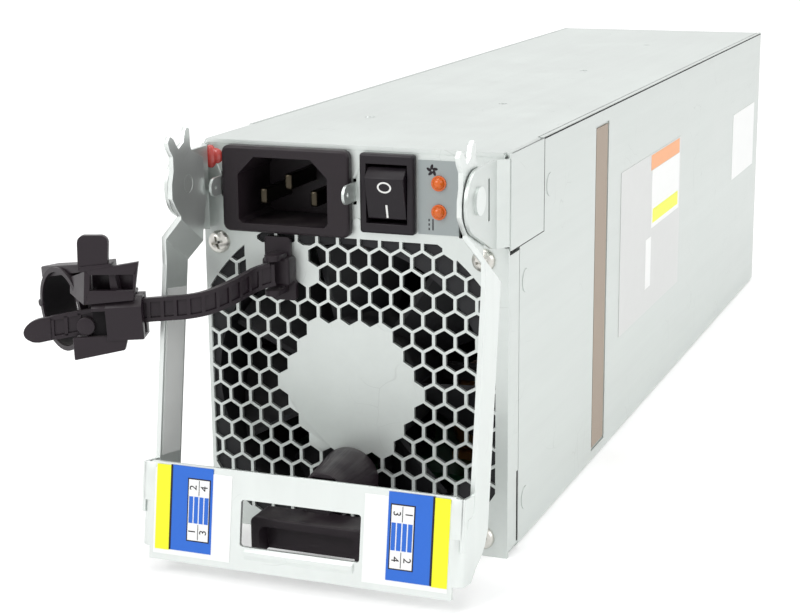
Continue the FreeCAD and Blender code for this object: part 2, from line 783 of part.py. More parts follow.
def inlet_pins():
    """Three inlet blades."""
    parts = []
    for number, (x, z) in enumerate(blade_centres()):
        blade = box("blade_%d" % number, (x - S.blade_width / 2, x + S.blade_width / 2),
                    (1.0, S.inlet_depth + 6), (z - S.blade_height / 2, z + S.blade_height / 2))
        parts.append(rounded("blade_tip_%d" % number, blade, 0.8,
                             lambda edge: near(edge, "y", 1.0)))
    node(group("pins", parts), "inlet_pins")


def switch_bezel():
    """Switch frame and body."""
    half = S.bezel_width / 2
    tall = S.bezel_height / 2
    frame = box("bezel_frame", (S.switch_x - half, S.switch_x + half),
                (-S.bezel_proud, 0), (S.switch_z - tall, S.switch_z + tall))
    frame = rounded("bezel_front", frame, 0.8,
                    lambda edge: near(edge, "y", -S.bezel_proud) or runs(edge, "y"))
    body = box("bezel_body", (S.switch_x - half + 1, S.switch_x + half - 1),
               (-1, 15), (S.switch_z - tall + 1, S.switch_z + tall - 1))
    across = S.rocker_width / 2 + S.joint_gap
    up = S.rocker_reach + S.joint_gap
    hollow = box("bezel_hollow", (S.switch_x - across, S.switch_x + across),
                 (-S.bezel_proud - 1, 11), (S.switch_z - up, S.switch_z + up))
    pin = rod("bezel_pin_seat", "x",
              (S.switch_x - S.rocker_width / 2 - 0.95, S.rocker_depth, S.switch_z),
              S.rocker_pin + S.pin_gap, S.rocker_width + 1.9)
    solid = fuse("bezel_solid", [frame, body])
    node(cut("bezel", solid, [hollow, pin]), "switch_bezel")


def switch_rocker():
    """Rocker with its two pivot stubs, upper end standing out."""
    face = float(S.rocker_face) / 2
    rise = -float(S.rocker_rise)
    reach = float(S.rocker_reach)
    width = float(S.rocker_width)
    y = float(S.rocker_depth)
    z = float(S.switch_z)
    start = float(S.switch_x) - width / 2
    shoulder = math.sqrt(reach * reach - 1.2 * 1.2)
    profile = [(rise, 0.0), (rise, face), (-1.2, shoulder), (1.0, shoulder - 0.5), (4.0, 3.0)]
    below = [(depth, -up) for depth, up in reversed(profile[1:])]
    points = [(y + depth, z + up) for depth, up in profile[1:] + below]
    rocker = prism(points, "x", start, width)
    stub = Part.makeCylinder(float(S.rocker_pin), width + 1.6,
                             Vector(start - 0.8, y, z), Vector(1, 0, 0))
    rocker = rocker.fuse(stub)
    rocker.rotate(Vector(0, y, z), Vector(1, 0, 0), float(S.rocker_tilt))
    node(shape_node("rocker", rocker), "switch_rocker")


def legend_plate():
    """Bare legend plate round the indicators."""
    plate = box("legend", (S.legend_left, S.legend_left + S.legend_width),
                (-S.foil, 0), (S.legend_low, S.legend_low + S.legend_height))
    outer = S.lamp_radius + S.lamp_ring + S.seat_gap
    tools = [rod("legend_hole_high", "y", (S.lamp_x, -1, S.lamp_high), outer, 2),
             rod("legend_hole_low", "y", (S.lamp_x, -1, S.lamp_low), outer, 2)]
    node(cut("legend_cut", plate, tools), "legend_plate")


def indicator(name, height):
    """One indicator lens with a domed front."""
    barrel = rod(name + "_barrel", "y", (S.lamp_x, -0.6, height), S.lamp_radius, 6)
    dome = doc.addObject("Part::Sphere", name + "_dome")
    bind(dome, "Radius", S.lamp_radius)
    place(dome, S.lamp_x, -0.6, height)
    node(fuse(name, [barrel, dome]), name)


def lamp_holders():
    """Dark rings round the indicators."""
    parts = []
    for name, height in (("high", S.lamp_high), ("low", S.lamp_low)):
        ring = rod("holder_" + name, "y", (S.lamp_x, -0.7, height),
                   S.lamp_radius + S.lamp_ring, 3)
        bore = rod("holder_bore_" + name, "y", (S.lamp_x, -2, height),
                   S.lamp_radius + S.seat_gap, 6)
        parts.append(cut("holder_cut_" + name, ring, [bore]))
    node(group("holders", parts), "indicator_holders")


def fan_frame():
    """Fan frame with rear struts and a stator boss."""
    front = S.wall
    back = S.wall + S.fan_depth
    half = S.fan_size / 2
    outer = box("fan_block", (S.fan_x - half, S.fan_x + half), (front, back),
                (S.fan_z - half, S.fan_z + half))
    outer = rounded("fan_corners", outer, 4.0, lambda edge: runs(edge, "y"))
    bore = rod("fan_bore_tool", "y", (S.fan_x, front - 1, S.fan_z), S.fan_bore,
               S.fan_depth + 2)
    shell = cut("fan_shell", outer, [bore])
    boss = rod("fan_boss_disc", "y", (S.fan_x, back - 5, S.fan_z), S.fan_boss, 5)
    upright = box("fan_strut_up", (S.fan_x - 2, S.fan_x + 2), (back - 3, back),
                  (S.fan_z - S.fan_bore - 0.5, S.fan_z + S.fan_bore + 0.5))
    level = box("fan_strut_level",
                (S.fan_x - S.fan_bore - 0.5, S.fan_x + S.fan_bore + 0.5),
                (back - 3, back), (S.fan_z - 2, S.fan_z + 2))
    solid = fuse("fan_solid", [shell, boss, upright, level])
    tools = [rod("fan_bearing", "y", (S.fan_x, back - 6, S.fan_z),
                 S.fan_shaft + S.pin_gap, 5)]
    for sx in (-1, 1):
        for sz in (-1, 1):
            tools.append(rod("fan_hole_%d_%d" % (sx, sz), "y",
                             (S.fan_x + S.screw_offset * sx, front - 1,
                              S.fan_z + S.screw_offset * sz),
                             S.screw_radius + S.seat_gap, 12))
    node(cut("fan", solid, tools), "fan_frame")


def fan_rotor():
    """Rotor hub, shaft and seven pitched blades."""
    x = float(S.fan_x)
    z = float(S.fan_z)
    front = float(S.wall) + 1.5
    back = float(S.wall + S.fan_depth) - 5 - float(S.joint_gap)
    along = Vector(0, 1, 0)
    hub = Part.makeCylinder(float(S.fan_hub), back - front, Vector(x, front, z), along)
    hub = hub.makeFillet(1.5, [edge for edge in hub.Edges
                               if abs(edge.CenterOfMass.y - front) < 1e-6
                               and not isinstance(edge.Curve, Part.Line)])
    shaft = Part.makeCylinder(float(S.fan_shaft), 4, Vector(x, back - 0.5, z), along)
    parts = [hub, shaft]
    tip = float(S.fan_tip)
    middle = (front + back) / 2
    for number in range(7):
        sections = []
        for radius, half_width, half_depth in ((float(S.fan_hub) - 1, 5.0, 7.6),
                                               (tip, 10.5, 7.0)):
            thick = 0.7
            corners = [
                Vector(-half_width - thick, middle - half_depth, radius),
                Vector(-half_width + thick, middle - half_depth, radius),
                Vector(half_width + thick, middle + half_depth, radius),
                Vector(half_width - thick, middle + half_depth, radius)]
            sections.append(Part.makePolygon(corners + [corners[0]]))
        blade = Part.makeLoft(sections, True, True)
        limit = Part.makeCylinder(tip, 60, Vector(0, -20, 0), along)
        blade = blade.common(limit)
        blade.rotate(Vector(), along, number * 360 / 7)
        blade.translate(Vector(x, 0, z))
        parts.append(blade)
    rotor = parts[0].multiFuse(parts[1:])
    node(shape_node("rotor", rotor), "fan_rotor")


def pan_screw(name, x, z, head, rise, shank, length):
    """A pan head screw with a cross recess, pointing into the case."""
    disc = rod(name + "_head", "y", (x, -rise, z), head, rise)
    disc = rounded(name + "_dome", disc, float(rise) * 0.7,
                   lambda edge: near(edge, "y", -lift(rise)) and not runs(edge, "y"))
    stem = rod(name + "_shank", "y", (x, -0.5, z), shank, length + 0.5)
    solid = fuse(name + "_solid", [disc, stem])
    recess = [box(name + "_slot_a", (x - head * 0.5, x + head * 0.5),
                  (-rise - 1, -rise + 0.9), (z - 0.35, z + 0.35)),
              box(name + "_slot_b", (x - 0.35, x + 0.35),
                  (-rise - 1, -rise + 0.9), (z - head * 0.5, z + head * 0.5))]
    return cut(name, solid, recess)


def fan_screws():
    """Four fan screws."""
    parts = []
    for sx in (-1, 1):
        for sz in (-1, 1):
            parts.append(pan_screw("fan_screw_%d_%d" % (sx + 1, sz + 1),
                                   S.fan_x + S.screw_offset * sx,
                                   S.fan_z + S.screw_offset * sz,
                                   S.screw_head, S.screw_rise, S.screw_radius, 9.0))
    node(group("fan_screw_set", parts), "fan_screws")


def sealed_screw():
    """Small screw covered with red lacquer."""
    head = rod("seal_head", "y", (-36.8, -1.5, 98.6), 2.05, 1.5)
    head = rounded("seal_dome", head, 1.0, lambda edge: near(edge, "y", -1.5)
                   and not runs(edge, "y"))
    stem = rod("seal_stem", "y", (-36.8, -0.5, 98.6), 1.3, 6.5)
    node(fuse("seal", [head, stem]), "sealed_screw")


def arm_shape():
    """Right lever arm in the closed pose: prongs, joggle, strip and foot."""
    tilt = math.radians(float(S.lever_rest))
    pivot_y = float(S.pivot_y)
    pivot_z = float(S.pivot_z)

    def closed(y, z):
        """Turn a point of the drawn pose back to the closed pose."""
        dy = y - pivot_y
        dz = z - pivot_z
        return (pivot_y + dy * math.cos(tilt) - dz * math.sin(tilt),
                pivot_z + dz * math.cos(tilt) + dy * math.sin(tilt))

    def vertex(y, z):
        return Vector(0, y, z)

    low = float(S.plate_low)
    high = float(S.plate_high)
    bend_y = float(S.plate_front + S.plate_bend)
    head = [closed(y, z) for y, z in (
        (-20.9, 86.7), (-23.4, 89.4), (-25.0, 91.7), (-24.9, 95.3), (-23.9, 98.3),
        (-23.9, 101.8), (-25.5, 103.9), (-26.2, 105.6), (-25.0, 107.0),
        (-23.3, 106.2), (-21.7, 104.2), (-20.9, 103.4), (-18.3, 104.6),
        (-17.4, 107.2), (-16.3, 108.2), (-15.0, 107.6), (-14.8, 103.3),
        (-14.1, 102.0), (-8.1, 99.6), (-8.0, 93.8), (-7.4, 88.6), (-9.5, 80.6))]
    foot = [
        (-6.7, 74.0), (-6.7, 15.4), (-8.3, 11.9), (-10.9, 9.3), (-14.5, 7.4),
        (-17.4, 4.6), (bend_y, 4.6), (bend_y, high - 5.5), (-18.9, high - 5.5),
        (-17.9, high - 4.5), (-17.9, 74.0)]
    points = [vertex(y, z) for y, z in head + foot]
    outline = Part.Face(Part.makePolygon(points + [points[0]]))
    outline = outline.extrude(Vector(60, 0, 0))
    return z_fold().common(outline)


def z_fold():
    """The joggled sheet before its outline is cut, in the closed pose."""
    inner = float(S.lever_inner)
    sheet_thick = float(S.lever_sheet)
    step = float(S.lever_joggle)
    slant = sheet_thick * math.tan(math.radians(22.5))
    # the outline runs down across the bend: distance from the bend line, across
    section = [
        (-60.0, inner), (slant, inner), (step + slant, inner + step),
        (120.0, inner + step), (120.0, inner + step + sheet_thick),
        (step, inner + step + sheet_thick), (0.0, inner + sheet_thick),
        (-60.0, inner + sheet_thick)]
    start = Vector(0, -19.6, 86.0)
    end = Vector(0, -7.4, 80.4)
    along = (end - start).normalize()
    down = Vector(0, along.z, -along.y)
    corner = start - along * 80
    points = [corner + down * distance + Vector(across, 0, 0)
              for distance, across in section]
    face = Part.Face(Part.makePolygon(points + [points[0]]))
    return face.extrude(along * 200)


def handle_shape():
    """Handle plate with its corner bends and finger window, closed pose."""
    thick = float(S.lever_sheet)
    front = float(S.plate_front)
    bend = float(S.plate_bend)
    outer = float(ARM_OUTER + S.lever_joggle)
    flat = outer - bend
    low = float(S.plate_low)
    high = float(S.plate_high)
    plate = block((-flat, flat), (front, front + thick), (low, high))
    corner = Part.makeCylinder(bend, high - low - 10.6, Vector(flat, front + bend, low + 3.1))
    bore = Part.makeCylinder(bend - thick, high - low, Vector(flat, front + bend, low))
    quarter = block((flat, flat + bend), (front, front + bend), (low + 3.1, high - 5.5))
    right = corner.cut(bore).common(quarter)
    plate = plate.multiFuse([right, mirrored(right)])
    half = float(S.window_width) / 2
    centre = float(S.window_x)
    window = block((centre - half, centre + half), (front - 5, front + 5),
                   (S.window_low, S.window_high))
    window = window.makeFillet(0.8, [edge for edge in window.Edges if runs(edge, "y")])
    lip = lip_shape(centre, half, front, thick)
    return plate.cut(window).fuse(lip)


def lip_shape(centre, half, front, thick):
    """Shallow rolled lip under the finger window."""
    low = float(S.window_low)
    points = [
        (front, low - 3.0), (front - 0.7, low - 1.9), (front - 0.7, low - 0.9),
        (front, low), (front + thick, low), (front + thick, low - 3.0)]
    return prism(points, "x", centre - half + 1.5, 2 * half - 3)


def bail_handle():
    """Locking lever folded from one sheet, turned to its drawn pose."""
    arm = arm_shape()
    whole = handle_shape().multiFuse([arm, mirrored(arm)])
    hole = Part.makeCylinder(
        float(S.pivot_radius + S.pin_gap), 200,
        Vector(-100, float(S.pivot_y), float(S.pivot_z)), Vector(1, 0, 0))
    whole = whole.cut(hole).removeSplitter()
    whole.rotate(Vector(0, float(S.pivot_y), float(S.pivot_z)), Vector(1, 0, 0),
                 -float(S.lever_rest))
    node(shape_node("lever", whole), "bail_handle")


def pivot_rivets():
    """Rivets that carry the lever in the cover ears."""
    parts = []
    for side, sign in SIDES:
        shank = side_limits(sign, S.lever_inner, S.ear_outer)
        head = side_limits(sign, S.ear_outer, S.ear_outer + 0.7)
        parts.append(fuse("pivot_" + side, [
            rod("pivot_shank_" + side, "x", (shank[0], S.pivot_y, S.pivot_z),
                S.pivot_radius, shank[1] - lift(shank[0])),
            rod("pivot_head_" + side, "x", (head[0], S.pivot_y, S.pivot_z),
                S.rivet_head, head[1] - lift(head[0]))]))
    node(group("pivots", parts), "pivot_rivets")


def tilted(name, base, label):
    """Turn a closed-pose piece with the lever and finish it."""
    doc.recompute()
    shape = base.Shape.copy()
    shape.rotate(Vector(0, float(S.pivot_y), float(S.pivot_z)), Vector(1, 0, 0),
                 -float(S.lever_rest))
    node(shape_node(name, shape), label)


def handle_labels():
    """Bare coloured labels on both ends of the handle plate."""
    low = S.plate_low + 1.6
    high = S.plate_high - 1.6
    front = S.plate_front
    parts = [box("label_left", (-38.6, -17.6), (front - S.foil / 2, front), (low, high)),
             box("label_right", (17.2, 38.6), (front - S.foil / 2, front), (low, high))]
    tilted("labels", group("label_pair", parts), "handle_labels")


def lever_sticker():
    """Bare silver sticker on the left strip."""
    outer = ARM_OUTER + S.lever_joggle
    film = box("sticker_film", (-outer + S.lever_sheet, -outer + S.lever_sheet + S.foil / 2),
               (-16.9, -7.7), (26.0, 68.0))
    tilted("sticker", film, "lever_sticker")


def latch_post():
    """Tapered latch post with its square stem guide."""
    post = cone("post_cone", "y", (S.latch_x, 0, S.latch_z), S.post_radius,
                S.post_tip, S.post_length)
    post.Placement = Placement(Vector(), Rotation(Vector(1, 0, 0), 90))
    place(post, S.latch_x, 0, S.latch_z)
    foot = rod("post_foot", "y", (S.latch_x, -0.5, S.latch_z), 2.0, S.wall + 1.1)
    solid = fuse("post_solid", [post, foot])
    half = S.stem_half + S.pin_gap
    guide = box("post_guide", (S.latch_x - half, S.latch_x + half),
                (-S.post_length - 1, -S.post_length + 5),
                (S.latch_z - 8 - S.stem_half - 6, S.latch_z + S.stem_half + S.latch_travel))
    node(cut("post", solid, [guide]), "latch_post")


def latch_grip():
    """Hooded latch grip with a stem that lifts in the post."""
    half = S.grip_width / 2
    bar = box("grip_bar", (S.latch_x - half, S.latch_x + half),
              (S.grip_front, S.grip_front + S.grip_depth), (S.grip_low, S.grip_high))
    bar = rounded("grip_round", bar, 1.6, lambda edge: runs(edge, "y"))
    bar = rounded("grip_front_round", bar, 0.7, lambda edge: near(edge, "y", S.grip_front))
    inner = half - 2.4
    hollow = box("grip_hollow", (S.latch_x - inner, S.latch_x + inner),
                 (S.grip_front - 1, S.grip_front + 5.0), (S.grip_low - 1, S.grip_high - 2.2))
    hollow = rounded("grip_hollow_round", hollow, 1.8, lambda edge: runs(edge, "y"))
    plate = box("grip_plate", (S.latch_x - S.stem_half, S.latch_x + S.stem_half),
                (S.grip_front + S.grip_depth - 1, -S.post_length + 4.7),
                (S.grip_low + 3.0, S.latch_z + S.stem_half - 0.5))
    node(cut("grip", fuse("grip_solid", [bar, plate]), [hollow]), "latch_grip")


def strap_anchor():
    """Anchor of the retainer strap under the inlet."""
    plate = box("anchor_plate", (-23.5, -16.5), (-1.4, 0), (72.0, 79.0))
    plate = rounded("anchor_plate_round", plate, 0.8, lambda edge: runs(edge, "y"))
    body = box("anchor_block", (-23.0, -15.5), (-4.6, 0), (67.0, 74.2))
    body = rounded("anchor_block_round", body, 0.9,
                   lambda edge: near(edge, "y", -4.6) or runs(edge, "y"))
    tab = box("anchor_tab", (-21.5, -15.0), (-1.6, 0), (62.8, 68.0))
    tab = rounded("anchor_tab_round", tab, 0.8, lambda edge: runs(edge, "y"))
    knuckle = rod("anchor_knuckle", "z",
                  (S.strap_root_x, S.strap_root_y, S.strap_root_z + 3.4), 2.0, 1.4)
    lower = rod("anchor_knuckle_low", "z",
                (S.strap_root_x, S.strap_root_y, S.strap_root_z - 5.5), 2.0, 1.4)
    bridge = box("anchor_bridge", (S.strap_root_x - 2, S.strap_root_x + 2),
                 (S.strap_root_y, -4), (S.strap_root_z + 3.4, S.strap_root_z + 4.8))
    bridge_low = box("anchor_bridge_low", (S.strap_root_x - 2, S.strap_root_x + 2),
                     (S.strap_root_y, -4), (S.strap_root_z - 5.5, S.strap_root_z - 4.1))
    back = box("anchor_back", (S.strap_root_x - 2, S.strap_root_x + 2),
               (-4.2, -2), (S.strap_root_z - 5.5, S.strap_root_z + 4.8))
    node(fuse("anchor", [plate, body, tab, knuckle, lower, bridge, bridge_low, back]),
         "strap_anchor")


def strap_directions():
    """Along the strap in the clamp, toward the front, and up."""
    turn = math.radians(float(S.clamp_turn))
    along = Vector(-math.cos(turn), -math.sin(turn), -0.05)
    along.normalize()
    up = Vector(0, 0, 1) - along * along.z
    up.normalize()
    front = along.cross(up)
    if front.y > 0:
        front = -front
    return along, front, up


def clamp_point(u, v, w):
    """A point in the clamp frame: along, toward the front, up."""
    along, front, up = strap_directions()
    entry = Vector(float(S.clamp_x), float(S.clamp_y), float(S.clamp_z))
    return entry + along * float(u) + front * float(v) + up * float(w)


def to_clamp(shape):
    """Move a shape drawn as (u, v, w) into the clamp frame."""
    along, front, up = strap_directions()
    origin = clamp_point(0, 0, 0)
    matrix = Matrix(along.x, front.x, up.x, origin.x,
                    along.y, front.y, up.y, origin.y,
                    along.z, front.z, up.z, origin.z,
                    0, 0, 0, 1)
    moved = shape.copy()
    moved.Placement = Placement(matrix)
    return moved


def retainer_strap():
    """Ladder strap from its root through the clamp to its rounded tail."""
    root = Vector(float(S.strap_root_x), float(S.strap_root_y), float(S.strap_root_z))
    points = [
        root, Vector(-22.6, -9.0, 69.4), Vector(-25.2, -16.5, 67.7),
        Vector(-28.7, -21.9, 66.2), Vector(-33.4, -24.0, 65.1),
        Vector(-39.8, -24.6, 64.2), clamp_point(0, 0, 0),
        clamp_point(float(S.tail_length) / 2, 0, 0), clamp_point(S.tail_length, 0, 0)]
    curve = Part.BSplineCurve()
    curve.interpolate(points)
    spine = Part.Wire([curve.toShape()])
    start = curve.tangent(curve.FirstParameter)[0]
    up = Vector(0, 0, 1)
    side = start.cross(up).normalize()
    tall = up - start * start.dot(up)
    tall.normalize()
    half = float(S.strap_height) / 2
    thin = float(S.strap_sheet) / 2
    corners = [root + side * a * thin + tall * b * half
               for a, b in ((-1, -1), (1, -1), (1, 1), (-1, 1))]
    pipe = Part.BRepOffsetAPI.MakePipeShell(spine)
    pipe.setBiNormalMode(up)
    pipe.add(Part.makePolygon(corners + [corners[0]]))
    pipe.build()
    pipe.makeSolid()
    strap = pipe.shape()
    barrel = Part.makeCylinder(1.9, 2 * half, root - up * half)
    strap = strap.fuse(barrel)
    node(shape_node("strap", strap), "retainer_strap")


def ring_half(upper):
    """One half of the clamp ring in the clamp frame."""
    outer = float(S.ring_radius)
    inner = outer - float(S.ring_wall)
    start = float(S.ring_start)
    length = float(S.ring_length)
    centre = Vector(start, -float(S.ring_back), 0)
    along = Vector(1, 0, 0)
    ring = Part.makeCylinder(outer, length, centre, along)
    ring = ring.cut(Part.makeCylinder(inner, length + 2, centre - along, along))
    gap = float(S.joint_gap) / 2
    if upper:
        keep = block((start - 1, start + length + 1), (-40, 20), (gap, 30))
    else:
        keep = block((start - 1, start + length + 1), (-40, 20), (-30, -gap))
    return ring.common(keep)


def hinge_line():
    """Position of the jaw hinge in the clamp frame: v and w."""
    return -float(S.ring_back + S.ring_radius + S.knuckle + S.joint_gap), 0.0


def clamp_body():
    """Ratchet block, lower half ring and lower plate."""
    length = float(S.block_length)
    depth = float(S.block_depth) / 2
    low = -float(S.block_height) / 2
    high = -low
    front = block((0, length), (-depth, depth), (low, high))
    front = front.makeFillet(0.7, [edge for edge in front.Edges if runs(edge, "x")])
    half = float(S.strap_height) / 2 + float(S.channel_gap)
    thin = float(S.strap_sheet) / 2 + float(S.channel_gap)
    channel = block((-1, 60), (-thin, thin), (-half, half))
    bridge = block((length - 1, 18.5), (-depth, -thin - 0.4), (low, -0.4))
    lower = prism([(4.0, -5.0), (17.7, -6.0), (17.7, -11.0), (5.0, -13.0)], "y", -4.9, 1.6)
    parts = [front, bridge, lower, ring_half(False)]
    v, w = hinge_line()
    start = float(S.ring_start)
    width = float(S.ring_length)
    pin = Part.makeCylinder(float(S.knuckle_pin), width, Vector(start, v, w), Vector(1, 0, 0))
    for offset in (0.0, width - 2.2):
        knuckle = Part.makeCylinder(float(S.knuckle), 2.2, Vector(start + offset, v, w),
                                    Vector(1, 0, 0))
        tongue = block((start + offset, start + offset + 2.2), (v, v + 3.4), (-3.2, -0.2))
        parts += [knuckle, tongue]
    parts.append(pin)
    whole = parts[0].multiFuse(parts[1:]).cut(channel)
    cut_room = Part.makeCylinder(
        float(S.ring_radius - S.ring_wall), 40, Vector(0, -float(S.ring_back), 0),
        Vector(1, 0, 0))
    whole = whole.cut(cut_room)
    node(shape_node("clamp", to_clamp(whole)), "clamp_body")


def clamp_jaw():
    """Upper half ring with its front plate, thumb tab and top arm."""
    gap = float(S.joint_gap)
    depth = float(S.block_depth) / 2
    high = float(S.block_height) / 2 + gap
    inner_front = -float(S.ring_back) + float(S.ring_radius)
    half = ring_half(True)
    shelf = block((1.5, 18.0), (inner_front - 1.2, -depth + 3.4), (high, high + 1.6))
    plate = block((1.5, 14.0), (-depth + 1.8, -depth + 3.4), (high, high + 10.0))
    window = block((3.0, 12.6), (-depth, -depth + 5), (high + 3.0, high + 7.2))
    facet = block((13.5, 18.0), (-depth - 1.2, -depth + 3.4), (high, high + 8.6))
    tab = block((8.5, 16.0), (-depth - 1.6, -depth + 0.2), (high + 6.0, high + 16.2))
    tab = tab.makeFillet(2.2, [edge for edge in tab.Edges if runs(edge, "y")
                               and edge.CenterOfMass.z > high + 10])
    joiner = block((9.0, 15.5), (-depth - 1.6, -depth + 2.4), (high + 6.5, high + 9.6))
    arm = block((16.0, 25.5), (-14.5, -9.0), (high + 5.6, high + 7.4))
    web = block((13.5, 18.5), (-14.5, -depth), (high + 0.8, high + 7.4))
    link = block((10.2, 19.0), (-13.5, -depth + 1.8), (high, high + 2.2))
    v, w = hinge_line()
    start = float(S.ring_start)
    width = float(S.ring_length)
    space = gap
    knuckle = Part.makeCylinder(float(S.knuckle), width - 4.4 - 2 * space,
                                Vector(start + 2.2 + space, v, w), Vector(1, 0, 0))
    tongue = block((start + 2.2 + space, start + width - 2.2 - space), (v, v + 3.4), (0.2, 3.2))
    whole = half.multiFuse([shelf, plate, facet, tab, joiner, arm, web, link, knuckle, tongue])
    bore = Part.makeCylinder(float(S.knuckle_pin + S.pin_gap), 40, Vector(0, v, w),
                             Vector(1, 0, 0))
    room = Part.makeCylinder(float(S.ring_radius - S.ring_wall), 40,
                             Vector(0, -float(S.ring_back), 0), Vector(1, 0, 0))
    whole = whole.cut(bore).cut(window).cut(room)
    node(shape_node("jaw", to_clamp(whole)), "clamp_jaw")


def gasket_strips():
    """Soft strips in the side recesses."""
    parts = []
    for side, sign in SIDES:
        across = side_limits(sign, HALF - S.recess_depth, HALF - 0.1)
        parts.append(box("gasket_" + side, across,
                         (S.recess_start + 1, S.recess_start + S.recess_width - 1),
                         (S.recess_low + 0.8, S.recess_high - 0.8)))
    node(group("gaskets", parts), "gasket_strips")


def side_label(name, label, y, z):
    """A bare label on the right side of the case."""
    film = box(name, (HALF, HALF + S.foil / 2), y, z)
    node(group(name + "_film", [film]), label)


def board_top():
    """Upper face of the main board."""
    return S.board_low + S.board_sheet


def stand_positions():
    """Standoff centres."""
    across = S.board_width / 2 - S.stand_inset
    first = S.board_start + S.stand_inset
    last = REAR_FACE - S.board_margin - S.stand_inset
    middle = (first + last) / 2
    return [(across * sign, y) for sign in (-1, 1) for y in (first, middle, last)]


def main_board():
    """Main circuit board."""
    half = S.board_width / 2
    plate = box("board", (-half, half), (S.board_start, REAR_FACE - S.board_margin),
                (S.board_low, board_top()))
    tools = [rod("board_hole_%d" % number, "z", (x, y, S.board_low - 1), 1.5,
                 S.board_sheet + 2)
             for number, (x, y) in enumerate(stand_positions())]
    node(cut("board_cut", plate, tools), "main_board")


def board_standoffs():
    """Round standoffs between the base and the board."""
    parts = [rod("stand_%d" % number, "z", (x, y, S.wall), S.stand_radius,
                 S.board_low - S.wall)
             for number, (x, y) in enumerate(stand_positions())]
    node(group("stands", parts), "board_standoffs")


def board_screws():
    """Screws that hold the board to its standoffs."""
    parts = []
    for number, (x, y) in enumerate(stand_positions()):
        head = rod("board_head_%d" % number, "z", (x, y, board_top()), 2.6, 1.6)
        parts.append(head)
    node(group("board_screw_set", parts), "board_screws")


def insulation_sheet():
    """Insulating film on the base under the board."""
    half = S.board_width / 2 - 2 * S.stand_inset
    film = box("insulation", (-half, half),
               (S.board_start + 2, REAR_FACE - S.board_margin - 2), (S.wall, S.wall + 0.4))
    node(group("insulation_film", [film]), "insulation_sheet")


def heat_sinks():
    """Two finned heat sinks along the board."""
    parts = []
    low = board_top()
    start = lift(100.0)
    for side, sign in SIDES:
        back = box("sink_back_" + side, side_limits(sign, 24.0, S.sink_sheet + 24.0),
                   (start, start + S.sink_length), (low, low + S.sink_height))
        fins = []
        for number in range(7):
            z = low + 8 + 9 * lift(number)
            fins.append(box("fin_%s_%d" % (side, number),
                            side_limits(sign, S.sink_sheet + 23.5,
                                        S.sink_sheet + 24.0 + S.fin_length),
                            (start, start + S.sink_length), (z, z + 1.6)))
        parts.append(fuse("sink_" + side, [back] + fins))
    node(group("sinks", parts), "heat_sinks")


def bulk_capacitors():
    """Two bulk capacitors."""
    parts = []
    for number, y in enumerate((58.0, 268.0)):
        can = rod("can_%d" % number, "z", (-15, y, board_top()), S.cap_radius, S.cap_height)
        parts.append(rounded("can_round_%d" % number, can, 1.2,
                             lambda edge: not runs(edge, "z")
                             and near(edge, "z", board_top() + S.cap_height)))
    node(group("cans", parts), "bulk_capacitors")


def transformer():
    """Transformer core with its winding."""
    half = S.core_size / 2
    low = board_top()
    core = box("core", (-half, half), (150.0, 150.0 + S.core_size), (low, low + S.core_height))
    left = box("core_window_left", (-half - 1, -half + 1 + 9), (160.0, 140.0 + S.core_size),
               (low + 8, low + S.core_height - 8))
    right = box("core_window_right", (half - 10, half + 1), (160.0, 140.0 + S.core_size),
                (low + 8, low + S.core_height - 8))
    node(cut("core_cut", core, [left, right]), "transformer_core")
    winding = rod("winding", "z", (0, 150.0 + S.core_size / 2, low + 8.2), 10.0,
                  S.core_height - 16.4)
    legs = box("winding_left", (-half + 0.5, -half + 9.5), (160.5, 139.5 + S.core_size),
               (low + 8.2, low + S.core_height - 8.2))
    other = box("winding_right", (half - 9.5, half - 0.5), (160.5, 139.5 + S.core_size),
                (low + 8.2, low + S.core_height - 8.2))
    doc.removeObject(winding.Name)
    node(group("winding_pair", [legs, other]), "transformer_windings")


def filter_choke():
    """Toroidal choke standing on the board."""
    torus = doc.addObject("Part::Torus", "choke")
    bind(torus, "Radius1", S.choke_radius - 4)
    bind(torus, "Radius2", 4)
    torus.Placement = Placement(Vector(), TURNS["x"])
    place(torus, 14.0, 56.0, board_top() + S.choke_radius)
    foot = box("choke_foot", (10.0, 18.0), (46.0, 66.0), (board_top(), board_top() + 2))
    node(fuse("choke_solid", [torus, foot]), "filter_choke")


def output_connector():
    """Output connector through the rear panel."""
    half = S.plug_width / 2
    body = box("plug", (-half, half), (REAR_FACE - 14, S.case_length + S.plug_reach),
               (S.plug_low, S.plug_low + S.plug_height))
    body = rounded("plug_round", body, 0.8, lambda edge: runs(edge, "y"))
    tools = []
    for number in range(8):
        x = -half + 4.0 + 6.2 * lift(number)
        tools.append(box("plug_cell_%d" % number, (x, x + 4.6),
                         (S.case_length + S.plug_reach - 10, S.case_length + S.plug_reach + 1),
                         (S.plug_low + 3, S.plug_low + S.plug_height - 3)))
    node(cut("plug_cut", body, tools), "output_connector")
    blades = []
    for number in range(8):
        x = -half + 4.0 + 6.2 * lift(number) + 1.8
        blades.append(box("plug_blade_%d" % number, (x, x + 1.0),
                          (S.case_length + S.plug_reach - 10,
                           S.case_length + S.plug_reach - 1.5),
                          (S.plug_low + 4, S.plug_low + S.plug_height - 4)))
    node(group("plug_blades", blades), "output_contacts")


def wire_path(name, points, radius, label):
    """A round wire through given points."""
    curve = Part.BSplineCurve()
    curve.interpolate([Vector(*[float(value) for value in point]) for point in points])
    spine = Part.Wire([curve.toShape()])
    start = curve.value(curve.FirstParameter)
    way = curve.tangent(curve.FirstParameter)[0]
    circle = Part.Wire([Part.Circle(start, way, radius).toShape()])
    pipe = spine.makePipeShell([circle], True, False)
    node(shape_node(name, pipe), label)


